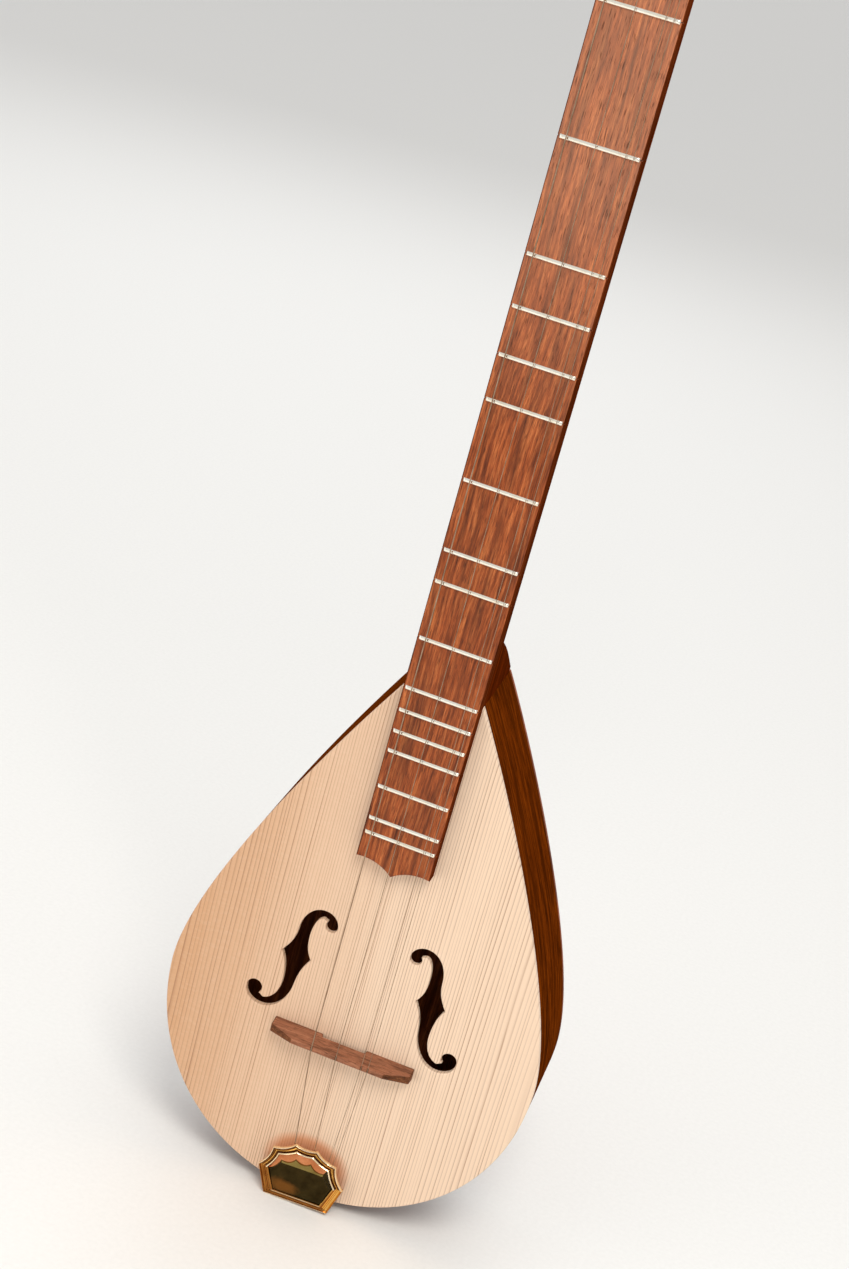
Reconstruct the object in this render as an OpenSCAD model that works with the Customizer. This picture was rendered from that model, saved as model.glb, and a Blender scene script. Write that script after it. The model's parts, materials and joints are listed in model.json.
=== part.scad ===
// Long-necked fretted lute: flat teardrop body, diatonic frets, four steel strings.
// Frame: X across, Z up the neck, the soundboard faces -Y. The origin lies on the flat
// back, on the centreline, level with the end of the string scale.

/* [Scale and frets] */
// Open string length that the frets divide
scale_length = 711; // [690:1:730]
// Width of a fret's crown along the string
fret_w = 2.2; // [1.8:0.1:2.6]
// Height of a fret's crown over the fingerboard
fret_h = 1; // [0.8:0.1:1.3]

/* [Fingerboard and neck] */
// Width of the fingerboard
board_w = 38; // [34:0.5:42]
// Thickness of the fingerboard
board_t = 7.7; // [6:0.1:9]
// Height of the fingerboard's end corners above the scale end
board_end_z = 119; // [112:1:124]
// How far the centre cusp of the fingerboard's end reaches past its corners
board_cusp = 5.2; // [3:0.1:7]
// Depth of the neck behind the soundboard's plane
neck_t = 15; // [13:0.5:18]
// Length of the heel along the neck
heel_l = 32; // [24:1:40]

/* [Body] */
// Depth of the body from the soundboard's face to the back's face
body_depth = 56; // [48:1:64]
// Half of the widest width of the body
body_half_w = 97.4; // [90:0.2:104]
// Height of the widest line above the scale end
widest_z = 22.6; // [18:0.2:27]
// Distance from the scale end down to the tail
tail_drop = 81.3; // [76:0.1:86]
// Height of the neck joint above the scale end
joint_z = 211; // [205:1:217]
// Thickness of the soundboard
top_t = 3; // [2.5:0.1:3.5]
// Thickness of the back
back_t = 3; // [2.5:0.1:3.5]
// Thickness of the bent sides
side_t = 2.4; // [2:0.1:3]

/* [Bridge] */
// Height of the bridge's centre line above the scale end
bridge_z = 9.9; // [6:0.1:14]
// Length of the bridge across the soundboard
bridge_l = 75; // [70:1:80]
// Height of the bridge at the strings
bridge_h = 12; // [11:0.1:13]
// Thickness of the bridge at its feet
bridge_t = 6.8; // [6:0.1:8]

/* [Tailpiece] */
// Width of the tailpiece cover over its side points
cover_w = 46; // [43:0.5:49]
// Height of the cover's rim over the soundboard
cover_h = 7.4; // [7:0.1:8]
// Thickness of the cover's brass sheet
cover_t = 0.9; // [0.8:0.1:1.1]
// Sideways offset of the tailpiece from the centreline
tailpiece_x = -2; // [-3:0.5:1]
// Angle by which the cover sits askew on its base
cover_turn = 2.9; // [-3:0.1:4]

/* [Headstock and tuners] */
// Angle at which the headstock leans back
head_angle = 12; // [9:1:14]
// Thickness of the headstock without its veneer
head_t = 13; // [12:0.5:15]
// Radius of each string post
post_r = 3; // [2.8:0.1:3.2]

/* [Strings] */
// Radius of the bass string
bass_r = 0.34; // [0.25:0.01:0.4]
// Radius of the middle string
middle_r = 0.24; // [0.15:0.01:0.3]
// Radius of the two treble strings
treble_r = 0.2; // [0.15:0.01:0.25]

/* [Hidden] */
STRINGS = ["bass", "middle", "inner_treble", "outer_treble"];
STRING_PARTS = ["_string", "_winding", "_tuner_plate", "_gear", "_gear_screw",
                "_post", "_worm", "_tuner_shaft", "_button"];

spruce = "wheat";
rosewood = "sienna";
walnut = "saddlebrown";
brass = "goldenrod";
steel = "silver";
nickel = "gainsboro";

curve_n = [23, 28];                // steps along each quarter of the outline, treble then bass side
front_y = -body_depth;             // outer face of the soundboard
half_board = board_w / 2;
board_y = front_y - board_t;       // playing face of the fingerboard
nut_w = 4.5;                       // thickness of the nut along the strings
head_z = scale_length + nut_w;     // where the headstock starts to lean back
slack = 0.3;                       // gap between parts of different bodies
bore_slack = 0.05;                 // running gap of a shaft in its hole
far = 130;                         // further out than any side of the body

// ---- Curves ---------------------------------------------------------------------------

// Point on a cubic curve with ends a and d and handles b and c
function cubic(a, b, c, d, t) =
    pow(1 - t, 3) * a + 3 * pow(1 - t, 2) * t * b + 3 * (1 - t) * t * t * c + t * t * t * d;

// Direction of travel on the same curve
function cubic_slope(a, b, c, d, t) =
    let (v = pow(1 - t, 2) * (b - a) + 2 * (1 - t) * t * (c - b) + t * t * (d - c)) v / norm(v);

// Points of a chain of cubic curves, each given as [a, b, c, d], n steps each
function chain(curves, n) =
    [for (c = curves, i = [0 : n - 1]) cubic(c[0], c[1], c[2], c[3], i / n)];

function mirrored(points) = [for (i = [len(points) - 1 : -1 : 0]) [-points[i][0], points[i][1]]];

// Points from p to q, bowed sideways by sag in the middle, without q itself
function bowed(p, q, sag, n = 8) =
    let (d = (q - p) / norm(q - p), side = [-d[1], d[0]])
    [for (i = [0 : n - 1]) p + (q - p) * i / n + side * sag * (1 - pow(2 * i / n - 1, 2))];

// ---- Body outline ---------------------------------------------------------------------

shoulder_angle = 31;               // lean of the straight shoulders at the neck
tail = [0, -tail_drop];
widest = [body_half_w, widest_z];
joint = [half_board, joint_z];
lower_curve = [tail, tail + [53, 0], widest - [0, 62], widest];
upper_curve = [widest, widest + [0, 47],
               joint + 46 * [sin(shoulder_angle), -cos(shoulder_angle)], joint];

// Right half of the outline in n steps a quarter, moved inwards by inset
function half_outline(inset, n) =
    [for (c = [lower_curve, upper_curve], i = [0 : n])
        let (t = i / n, v = cubic_slope(c[0], c[1], c[2], c[3], t))
        cubic(c[0], c[1], c[2], c[3], t) - inset * [v[1], -v[0]]];

// An inner outline runs on past the joint, so that it leaves the top open
function run_on(inset) =
    inset > 0 ? [joint - inset * [cos(shoulder_angle), sin(shoulder_angle)]
                 + 12 * [-sin(shoulder_angle), cos(shoulder_angle)]] : [];

module outline(inset = 0) {
    treble = concat(half_outline(inset, curve_n[0]), run_on(inset));
    bass = concat(half_outline(inset, curve_n[1]), run_on(inset));
    polygon(concat(treble, mirrored(bass)));
}

// A flat sheet whose back face lies at y and which reaches t towards the front
module sheet(y, t) {
    translate([0, y, 0]) rotate([90, 0, 0]) linear_extrude(t) children();
}

// Everything inside the sides, between the back and the soundboard
module inner_space(inset) {
    sheet(-back_t, body_depth - back_t - top_t) outline(inset);
}

// ---- Sound holes ----------------------------------------------------------------------

hole_steps = 7;
upper_eye = [22.4, 72.1];
upper_eye_r = 3.1;
lower_eye = [52.5, 24.6];
lower_eye_r = 4;
f_curves = [
    [[19.3, 72.3], [19.3, 76.3], [22.6, 79.5], [27, 79.5]],
    [[27, 79.5], [33.5, 79.5], [38, 73], [38.2, 65]],
    [[38.2, 65], [38.4, 58], [40.5, 55], [43.6, 50.2]],
    [[43.6, 50.2], [41, 46.2], [39.4, 41], [39.4, 33]],
    [[39.4, 33], [39.4, 26], [43, 20.3], [48.3, 20.3]],
    [[48.3, 20.3], [49.2, 20.3], [50.2, 20.6], [50.8, 21.4]],
    [[50.8, 21.4], [53, 23], [55, 23.5], [56.5, 23.8]],
    [[56.5, 23.8], [56.5, 18.8], [52.3, 15.8], [47.5, 15.8]],
    [[47.5, 15.8], [39.5, 15.8], [34.2, 24.5], [33.4, 34]],
    [[33.4, 34], [32.7, 41], [31.5, 44.5], [28.2, 50]],
    [[28.2, 50], [30.2, 53], [31.9, 55.5], [31.9, 63]],
    [[31.9, 63], [31.9, 70], [30, 75], [27, 75]],
    [[27, 75], [25.6, 75], [25, 74], [25, 73]],
    [[25, 73], [23, 73], [21, 73], [19.3, 72.3]]];

module f_hole() {
    polygon(chain(f_curves, hole_steps));
    translate(upper_eye) circle(upper_eye_r, $fn = 32);
    translate(lower_eye) circle(lower_eye_r, $fn = 32);
}

// ---- Body -----------------------------------------------------------------------------

lining_w = 5;
lining_h = 6;
block_fit = 0.2;                   // glue gap between a block and its neighbours
neck_block_z = 172;                // lower face of the neck block
tail_block_z = -66;                // upper face of the tail block
tail_block_half = 28;
tenon = [16, 30, 8];
tenon_y = front_y + 12;
flange_screw_x = [-9, 9];
flange_screw_y = front_y + 15;
flange_screw_r = 1.2;
flange_screw_l = 12;
back_bevel = 1;                    // step that eases the back's outer edge

module soundboard() {
    color(spruce) sheet(front_y + top_t, top_t) difference() {
        outline();
        f_hole();
        mirror([1, 0]) f_hole();
    }
}

module back() {
    color(walnut) {
        sheet(-back_bevel, back_t - back_bevel) outline();
        sheet(0, back_bevel) intersection() {
            outline(back_bevel);
            translate([-far, -far]) square([2 * far, far + joint_z - back_bevel]);
        }
    }
}

// The holes that the tailpiece screws follow into the sides and the tail block
module flange_screw_holes(r) {
    for (x = flange_screw_x)
        translate([tailpiece_x + x, flange_screw_y, -tail_drop - 2])
            cylinder(flange_screw_l + 2.5, r = r, $fn = 32);
}

// Half of the ring of sides; hand is 1 for the treble half and -1 for the bass half
module rim(hand) {
    color(walnut) difference() {
        sheet(-back_t, body_depth - back_t - top_t) intersection() {
            difference() { outline(); outline(side_t); }
            scale([hand, 1]) translate([0, -far]) square([far, far + joint_z]);
        }
        flange_screw_holes(flange_screw_r + bore_slack);
    }
}

module treble_rim() { rim(1); }

module bass_rim() { rim(-1); }

module tenon_box() {
    translate([-tenon[0] / 2, tenon_y, joint_z - tenon[2]]) cube(tenon);
}

module neck_block() {
    color(spruce) difference() {
        intersection() {
            inner_space(side_t);
            translate([-far, front_y, neck_block_z])
                cube([2 * far, body_depth, joint_z - neck_block_z]);
        }
        tenon_box();
    }
}

module tail_block() {
    color(spruce) difference() {
        intersection() {
            inner_space(side_t);
            translate([-tail_block_half, front_y, -far])
                cube([2 * tail_block_half, body_depth, far + tail_block_z]);
        }
        flange_screw_holes(flange_screw_r + bore_slack);
    }
}

// The strip that lines the sides, open where the two blocks stand
module linings(y) {
    sheet(y, lining_h) difference() {
        outline(side_t);
        outline(side_t + lining_w);
        translate([-far, neck_block_z - block_fit]) square([2 * far, far]);
        translate([-tail_block_half - block_fit, tail_block_z - far])
            square([2 * (tail_block_half + block_fit), far + block_fit]);
    }
}

module soundboard_linings() { color(spruce) linings(front_y + top_t + lining_h); }

module back_linings() { color(spruce) linings(-back_t); }

brace_w = 8;
soundboard_brace_z = [98, -10];
soundboard_brace_h = 11;
back_brace_z = [145, 82, -42];
back_brace_h = 12;
brace_gap = 0.2;                   // gap between a brace's end and the lining

// A bar across the body at height z, h high, from y towards the front
module brace(z, y, h) {
    intersection() {
        sheet(y, h) outline(side_t + lining_w + brace_gap);
        translate([-far, y - h, z - brace_w / 2]) cube([2 * far, h, brace_w]);
    }
}

module soundboard_braces() {
    color(spruce) for (z = soundboard_brace_z)
        brace(z, front_y + top_t + soundboard_brace_h, soundboard_brace_h);
}

module back_braces() {
    color(spruce) for (z = back_brace_z) brace(z, -back_t, back_brace_h);
}

// ---- Neck -----------------------------------------------------------------------------

half_head = 31;                    // half width of the headstock at its widest
head_l = 131;
half_root = half_board - 0.6;      // half width of the headstock where it leaves the neck

// Moves its children into the headstock's frame: local y = 0 is the headstock's front face
module head_frame() {
    translate([0, front_y, head_z]) rotate([-head_angle, 0, 0]) children();
}

// Outline of the headstock: flares out of the neck, runs nearly straight, ends in a low arch
module head_outline() {
    half = chain([
        [[half_root, 0], [half_root, 8], [half_head - 3, 8], [half_head - 3, 22]],
        [[half_head - 3, 22], [half_head - 3, 50], [half_head, 80], [half_head, 106]],
        [[half_head, 106], [half_head, 116], [24, 117], [16, 121]],
        [[16, 121], [10, 124], [5, head_l], [0, head_l]]], 8);
    polygon(concat(half, [[0, head_l]], mirrored(half)));
}

heel_gap = 0.5;                    // how far the heel's foot stays inside the back's face
neck_round = 0.3;                  // 1 makes the neck's section half an ellipse, 0 a box
heel_round = 0.1;                  // the same for the heel

module neck_section() {
    polygon([for (a = [0 : 10 : 180]) [half_board * cos(a), front_y + neck_t * pow(sin(a), neck_round)]]);
}

module heel_section() {
    polygon([for (a = [0 : 7.5 : 180])
        [half_board * cos(a), front_y + (body_depth - heel_gap) * pow(sin(a), heel_round)]]);
}

// Side view of the heel: full depth at the body, swept up into the back of the neck
module heel_side() {
    sweep = chain([[[-heel_gap, joint_z + 2], [-14, joint_z + 11], [-27, joint_z + 20],
                    [front_y + neck_t, joint_z + heel_l]]], 12);
    polygon(concat([[front_y, joint_z], [-heel_gap, joint_z]], sweep,
                   [[front_y + neck_t, joint_z + heel_l], [front_y, joint_z + heel_l]]));
}

// The heel with the tenon, from the soundboard side to the back
module heel_and_tenon() {
    intersection() {
        translate([0, 0, joint_z]) linear_extrude(heel_l) heel_section();
        translate([-half_board, 0, 0]) rotate([90, 0, 90]) linear_extrude(board_w) heel_side();
    }
    tenon_box();
}

// All that lies behind the flat back of the neck blank, where the heel block is glued on
module behind_blank() {
    translate([-board_w, front_y + neck_t, joint_z - far]) cube([2 * board_w, far, 2 * far]);
}

// All that lies above the scarf joint between neck and headstock
module above_scarf() {
    head_frame() translate([-board_w, -board_w, 0]) cube([2 * board_w, 2 * board_w, far]);
}

module neck() {
    color(rosewood) {
        difference() {
            translate([0, 0, joint_z]) linear_extrude(head_z + 9 - joint_z) neck_section();
            above_scarf();
        }
        difference() {
            heel_and_tenon();
            behind_blank();
        }
    }
}

module heel() {
    color(rosewood) intersection() {
        heel_and_tenon();
        behind_blank();
    }
}

module headstock() {
    color(rosewood) head_frame() difference() {
        sheet(head_t, head_t) head_outline();
        for (k = [0 : 3]) {
            post_hole(k, bushing_r);
            plate_screw_holes(k);
        }
    }
}

veneer_t = 1.5;

module headstock_veneer() {
    color("maroon") head_frame() difference() {
        sheet(0, veneer_t) intersection() {
            head_outline();
            translate([-board_w, 0.6]) square([2 * board_w, head_l]);
        }
        for (k = [0 : 3]) post_hole(k, bushing_r);
    }
}

// ---- Fingerboard, frets and nut -------------------------------------------------------

board_bevel = 0.8;
fret_inset = 1;
tang_w = 0.5;
tang_h = 1.6;
fret_steps = [2, 4, 5, 7, 9, 10, 11, 12, 14, 16, 17, 19, 21, 22, 23, 24, 26, 28, 29];

// Height of the fret that is n semitones above the open string
function fret_z(n) = scale_length * pow(2, -n / 12);

module board_section() {
    polygon([[-half_board, front_y], [half_board, front_y], [half_board, board_y + board_bevel],
             [half_board - board_bevel, board_y], [board_bevel - half_board, board_y],
             [-half_board, board_y + board_bevel]]);
}

module board_plan() {
    corner = [half_board, board_end_z];
    cusp = [0, board_end_z - board_cusp];
    arcs = concat(bowed([-corner[0], corner[1]], cusp, 2.2), bowed(cusp, corner, 2.2));
    polygon(concat(arcs, [corner, [half_board, scale_length], [-half_board, scale_length]]));
}

module fingerboard() {
    color(rosewood) difference() {
        intersection() {
            sheet(front_y, board_t) board_plan();
            linear_extrude(scale_length) board_section();
        }
        for (n = fret_steps)
            translate([-half_board - 1, board_y - 1, fret_z(n) - tang_w / 2])
                cube([board_w + 2, tang_h + 1, tang_w]);
    }
}

// One fret wire: a low arch over a narrow tang
module fret_wire() {
    arch = [for (a = [0 : 18 : 180]) [-fret_h * sin(a), fret_w / 2 * cos(a)]];
    polygon(concat(arch, [[0, -tang_w / 2], [tang_h, -tang_w / 2],
                          [tang_h, tang_w / 2], [0, tang_w / 2]]));
}

module frets() {
    fret_l = board_w - 2 * fret_inset;
    color(nickel) for (n = fret_steps)
        translate([-fret_l / 2, board_y, fret_z(n)])
            rotate([90, 0, 90]) linear_extrude(fret_l) fret_wire();
}

nut_h = board_t + 1.9;             // height of the nut's front edge over the neck
nut_fall = 1;                      // how much lower its back edge is

module nut() {
    color("ivory") difference() {
        translate([-half_board, 0, 0]) rotate([90, 0, 90]) linear_extrude(board_w)
            polygon([[front_y, scale_length], [front_y - nut_h, scale_length],
                     [front_y - nut_h + nut_fall, head_z], [front_y, head_z]]);
        for (k = [0 : 3]) string_groove(k, 0.03);
    }
}

// ---- Strings --------------------------------------------------------------------------

string_r = [bass_r, middle_r, treble_r, treble_r];
bridge_x = [-13.6, -0.4, 13.2, 16.7];
nut_x = [-15, -1.8, 11.5, 15];
pin_x = [-8.8, 1.4, 9.2, 11.4];    // string pins of the tailpiece
pin_z = [-66, -66, -63.5, -69.5];
pin_r = 1;
loop_h = 3;                        // height of the string loops over the soundboard
post_x = [-18, -15, 15, 18];       // string posts, in the headstock's frame
post_z = [38, 88, 88, 38];
wrap_y = -8;                       // where the strings meet the posts
wrap_turns = 4;

function side(k) = k < 2 ? -1 : 1;

function loop_r(k) = pin_r + 0.1 + string_r[k];

// Centre of the winding's wire round the post
function wrap_r(k) = post_r + 0.03 + string_r[k];

// A point in the headstock's frame, seen in the instrument's frame
function from_head(p) = [
    p[0],
    front_y + p[1] * cos(head_angle) + p[2] * sin(head_angle),
    head_z - p[1] * sin(head_angle) + p[2] * cos(head_angle)];

function string_points(k) = [
    [pin_x[k], front_y - loop_h, pin_z[k] + loop_r(k)],
    [bridge_x[k], front_y - bridge_h, bridge_z],
    [nut_x[k], front_y - nut_h, scale_length],
    from_head([post_x[k] - side(k) * (wrap_r(k) + 2 * string_r[k] + 0.12), wrap_y, post_z[k]])];

// Direction of a route at its point i, averaged over the two stretches that meet there
function heading(p, i) =
    let (a = p[min(i + 1, len(p) - 1)] - p[min(i, len(p) - 2)], b = p[max(i, 1)] - p[max(i - 1, 0)],
         v = a / norm(a) + b / norm(b)) v / norm(v);

// A wire of radius r swept along the points p, with as many sides as asked
module wire(p, r, sides = 8) {
    rings = [for (i = [0 : len(p) - 1])
        let (v = heading(p, i), n = cross(v, [0, 1, 0]) / norm(cross(v, [0, 1, 0])), m = cross(v, n))
        for (j = [0 : sides - 1]) p[i] + r * (cos(360 * j / sides) * n + sin(360 * j / sides) * m)];
    walls = [for (i = [0 : len(p) - 2], j = [0 : sides - 1])
        let (a = i * sides + j, b = i * sides + (j + 1) % sides) [a, b, b + sides, a + sides]];
    ends = [[for (j = [sides - 1 : -1 : 0]) j], [for (j = [0 : sides - 1]) (len(p) - 1) * sides + j]];
    polyhedron(rings, concat(walls, ends));
}

// The string's loop round its pin, open by a gap where it would meet itself
function loop_points(k) = [for (a = [125 : 25 : 425])
    [pin_x[k] + loop_r(k) * cos(a), front_y - loop_h, pin_z[k] + loop_r(k) * sin(a)]];

module string(k) {
    color(steel) wire(concat(loop_points(k), string_points(k)), string_r[k]);
}

// Space round string k, for the grooves of the bridge and the nut
module string_groove(k, gap) {
    wire(string_points(k), (string_r[k] + gap) / cos(22.5));
}

module winding(k) {
    pitch = 1.7 * string_r[k];
    color(steel) head_frame() translate([post_x[k], wrap_y, post_z[k]]) rotate([90, 0, 0])
        rotate_extrude($fn = 48)
            for (i = [0 : wrap_turns - 1])
                translate([wrap_r(k), (i - (wrap_turns - 1) / 2) * pitch]) circle(string_r[k], $fn = 24);
}

// ---- Bridge ---------------------------------------------------------------------------

bridge_top_t = 2.6;
bridge_end_h = 6.5;
bridge_flat = 24.5;                // half length of the straight top
bridge_relief = 11;                // half length of the relief under the middle
relief_h = 2.4;

module bridge_front_view() {
    half_l = bridge_l / 2;
    polygon([[-half_l, 0], [-bridge_relief - 1, 0], [-bridge_relief, relief_h],
             [bridge_relief, relief_h], [bridge_relief + 1, 0], [half_l, 0],
             [half_l, bridge_end_h], [bridge_flat, bridge_h],
             [-bridge_flat, bridge_h], [-half_l, bridge_end_h]]);
}

module bridge() {
    color(walnut) difference() {
        intersection() {
            translate([0, front_y, bridge_z + bridge_t]) rotate([180, 0, 0])
                linear_extrude(2 * bridge_t) bridge_front_view();
            translate([-far, 0, 0]) rotate([90, 0, 90]) linear_extrude(2 * far)
                polygon([[front_y, bridge_z - bridge_t / 2], [front_y, bridge_z + bridge_t / 2],
                         [front_y - bridge_h, bridge_z + bridge_top_t / 2],
                         [front_y - bridge_h, bridge_z - bridge_top_t / 2]]);
        }
        for (k = [0 : 3]) string_groove(k, slack);
    }
}

// ---- Tailpiece ------------------------------------------------------------------------

base_t = 1;
base_half = 15;                    // half width of the base
flange_l = 22;                     // length of the base's flange down the tail
pin_h = 4.8;                       // top of the string pins over the soundboard
front_gap = 5.2;                   // height of the mouth that the strings enter
mouth_z = -69;                     // how far back the mouth reaches under the cover
side_gap = 0.5;                    // gap under the cover's side walls
half_cover = cover_w / 2;
cover_centre = [0, -68];
dish_steps = [[0.4, 0.8], [0.6, 0.62]];   // depth and relative size of the dish's two steps
cover_points = [[half_cover - 5.5, -84.1], [half_cover, -68], [half_cover - 5.8, -55.7],
                [half_cover - 17, -50.1]];
scallop = 1.3;

// Moves its children from the body's centreline to the place of the cover
module at_cover() {
    translate([tailpiece_x, 0, cover_centre[1]]) rotate([0, -cover_turn, 0])
        translate([0, 0, -cover_centre[1]]) children();
}

// Scalloped outline of the cover: straight at the tail, five hollows round the front
module cover_outline() {
    p = cover_points;
    half = concat([p[0]], bowed(p[1], p[2], scallop), bowed(p[2], p[3], scallop));
    q = [-p[3][0], p[3][1]];
    left = [for (i = [2 : -1 : 0]) [-p[i][0], p[i][1]]];
    polygon(concat(half, bowed(p[3], q, scallop), bowed(q, left[0], scallop),
                   bowed(left[0], left[1], scallop), [left[1], left[2]]));
}

module cover_middle(factor) {
    translate(cover_centre) scale([factor, factor]) translate(-cover_centre) cover_outline();
}

module tailpiece_cover() {
    hollow = 1 - 2.6 * cover_t / cover_w;
    color(brass) at_cover() difference() {
        sheet(front_y - side_gap, cover_h - side_gap) cover_middle(1);
        sheet(front_y + 1, cover_h - cover_t + 1) cover_middle(hollow);
        translate([-cover_w, front_y - front_gap, mouth_z]) cube([2 * cover_w, front_gap, far]);
        for (step = dish_steps) sheet(front_y - cover_h + step[0], 1) cover_middle(step[1]);
    }
}

module string_pin(k) {
    translate([pin_x[k], front_y - base_t, pin_z[k]]) rotate([90, 0, 0]) {
        cylinder(pin_h - base_t, r = pin_r, $fn = 32);
        translate([0, 0, pin_h - base_t - 0.7]) cylinder(0.7, r = pin_r + 0.4, $fn = 32);
    }
}

module tailpiece_base() {
    color(brass) translate([tailpiece_x, 0, 0]) difference() {
        union() {
            sheet(front_y, base_t)
                polygon([[-base_half, -tail_drop], [base_half, -tail_drop], [base_half, -62],
                         [base_half - 4, -58], [4 - base_half, -58], [-base_half, -62]]);
            translate([-base_half, front_y - base_t, -tail_drop - base_t])
                cube([2 * base_half, flange_l + base_t, base_t]);
            for (k = [0 : 3]) translate([-tailpiece_x, 0, 0]) string_pin(k);
        }
        for (x = flange_screw_x) translate([x, flange_screw_y, -tail_drop - 2])
            cylinder(4, r = flange_screw_r + bore_slack, $fn = 32);
    }
}

module screw_slot(r, depth) {
    translate([-r - 1, -0.3, -1]) cube([2 * r + 2, 0.6, depth + 1]);
}

// A pan-head wood screw that points up +Z, with its head below z = 0
module screw(shank_r, shank_l, head_r, head_h) {
    cylinder(shank_l, r = shank_r, $fn = 32);
    difference() {
        translate([0, 0, -head_h]) cylinder(head_h, r1 = head_r * 0.7, r2 = head_r, $fn = 32);
        translate([0, 0, -head_h]) screw_slot(head_r, head_h / 2);
    }
}

module tailpiece_screws() {
    color(brass) for (x = flange_screw_x)
        translate([tailpiece_x + x, flange_screw_y, -tail_drop - base_t])
            screw(flange_screw_r, flange_screw_l, 2.5, 1.4);
}

// ---- Tuners ---------------------------------------------------------------------------

bushing_r = 4.5;
bushing_l = 7;
plate_t = 1.2;
gear_teeth = 14;
worm_pitch = 1.9;
worm_turns = 4;
worm_root = 1.75;
worm_tip = 3.1;
gear_pitch_r = gear_teeth * worm_pitch / (2 * PI);
gear_tip = gear_pitch_r + 0.45;
gear_root = 3.35;
gear_t = 2.4;
post_square = 3.6;                 // width of the post's squared end
centre_gap = 6.83;                 // distance between gear axis and worm axis
shaft_r = 1.4;
lug_t = 1.5;
lug_x = worm_pitch * worm_turns / 2 + 0.3;   // inner face of each lug from the post's axis
gear_y = head_t + plate_t + 3.6;   // middle plane of gear and worm
button_x = half_head + 13.5;       // centre of the button
button_r = 8.5;
button_t = 6;
plate_screw_z = [-6.5, 13.5];
plate_screw_r = 1;

// Moves its children to post k, in the headstock's frame
module at_post(k) { translate([post_x[k], 0, post_z[k]]) children(); }

// Turns +Z to the back of the headstock
module backwards() { rotate([-90, 0, 0]) children(); }

// A hole through the headstock and its veneer at post k
module post_hole(k, r) {
    at_post(k) translate([0, -5, 0]) backwards() cylinder(head_t + 10, r = r, $fn = 48);
}

// Pilot holes for the two screws of each tuner plate
module plate_screw_holes(k) {
    for (z = plate_screw_z)
        at_post(k) translate([0, head_t + 1, z]) rotate([90, 0, 0])
            cylinder(10, r = plate_screw_r + bore_slack, $fn = 32);
}

module post_bushings() {
    color(nickel) head_frame() for (k = [0 : 3]) at_post(k) backwards() difference() {
        union() {
            translate([0, 0, -veneer_t - 1]) cylinder(1, r = bushing_r + 1.5, $fn = 48);
            translate([0, 0, -veneer_t]) cylinder(bushing_l, r = bushing_r, $fn = 48);
        }
        translate([0, 0, -10]) cylinder(30, r = post_r + bore_slack, $fn = 48);
    }
}

// One lug of a tuner plate, between x and x + lug_t
module lug(x) {
    translate([x, head_t + plate_t, centre_gap - 3.3]) cube([lug_t, 6, 6.6]);
}

module tuner_plate(k) {
    color(brass) head_frame() at_post(k) difference() {
        union() {
            translate([-7.5, head_t, -9]) cube([15, plate_t, 25]);
            lug(lug_x);
            lug(-lug_x - lug_t);
        }
        backwards() cylinder(30, r = post_r + bore_slack, $fn = 48);
        translate([-20, gear_y, centre_gap]) rotate([0, 90, 0])
            cylinder(40, r = shaft_r + bore_slack, $fn = 32);
        for (z = plate_screw_z) translate([0, 0, z]) backwards()
            cylinder(30, r = plate_screw_r + bore_slack, $fn = 32);
    }
}

module tuner_screws() {
    color(brass) head_frame() for (k = [0 : 3], z = plate_screw_z)
        at_post(k) translate([0, head_t + plate_t, z]) rotate([90, 0, 0]) screw(plate_screw_r, 9, 2, 1);
}

// Cross-section of the worm: one raised sector, which the twist turns into a thread
function worm_radius(a) =
    let (b = abs(a > 180 ? a - 360 : a))
    b <= 40 ? worm_tip : b >= 100 ? worm_root : worm_tip - (worm_tip - worm_root) * (b - 40) / 60;

module worm(k) {
    l = worm_pitch * worm_turns;
    color(steel) head_frame() at_post(k) translate([-l / 2, gear_y, centre_gap]) rotate([0, 90, 0])
        linear_extrude(l, twist = -360 * worm_turns, slices = 10 * worm_turns) difference() {
            polygon([for (a = [0 : 24 : 359]) worm_radius((a + 180) % 360) * [cos(a), sin(a)]]);
            circle((shaft_r + 0.01) / cos(22.5), $fn = 8);
        }
}

// The steel shaft that carries the worm and reaches out to the button
module tuner_shaft(k) {
    inner = -lug_x - lug_t - 0.6;
    outer = button_x - abs(post_x[k]) - button_r + 3;
    color(steel) head_frame() at_post(k) translate([0, gear_y, centre_gap])
        rotate([0, 90 * side(k), 0]) translate([0, 0, inner])
            cylinder(outer - inner, r = shaft_r, $fn = 32);
}

module button(k) {
    reach = button_x - abs(post_x[k]);
    color("ivory") head_frame() at_post(k) translate([0, gear_y, centre_gap])
        rotate([0, 90 * side(k), 0]) difference() {
            union() {
                translate([0, button_t / 2, reach]) rotate([90, 0, 0])
                    cylinder(button_t, r = button_r, $fn = 64);
                translate([0, 0, reach - button_r - 2]) cylinder(5, r = 2.8, $fn = 32);
            }
            translate([0, 0, reach - button_r - 5]) cylinder(8, r = shaft_r, $fn = 32);
        }
}

// Gear with straight-sided teeth, one of them pointing at the worm
module gear(k) {
    step = 360 / gear_teeth;
    tip_a = 2.4;
    root_a = 6.4;
    teeth = [for (i = [0 : gear_teeth - 1], s = [[-root_a, gear_root], [-tip_a, gear_tip],
                                                   [tip_a, gear_tip], [root_a, gear_root]])
        let (a = 90 + i * step + s[0]) s[1] * [cos(a), sin(a)]];
    color(brass) head_frame() at_post(k) translate([0, gear_back, 0]) rotate([90, 0, 0])
        linear_extrude(gear_t) difference() {
            polygon(teeth);
            square(post_square, center = true);
        }
}

gear_screw_r = 1.1;
gear_back = gear_y + gear_t / 2;
post_front = 13.5;                 // how far a post stands out of the headstock's face

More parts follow.
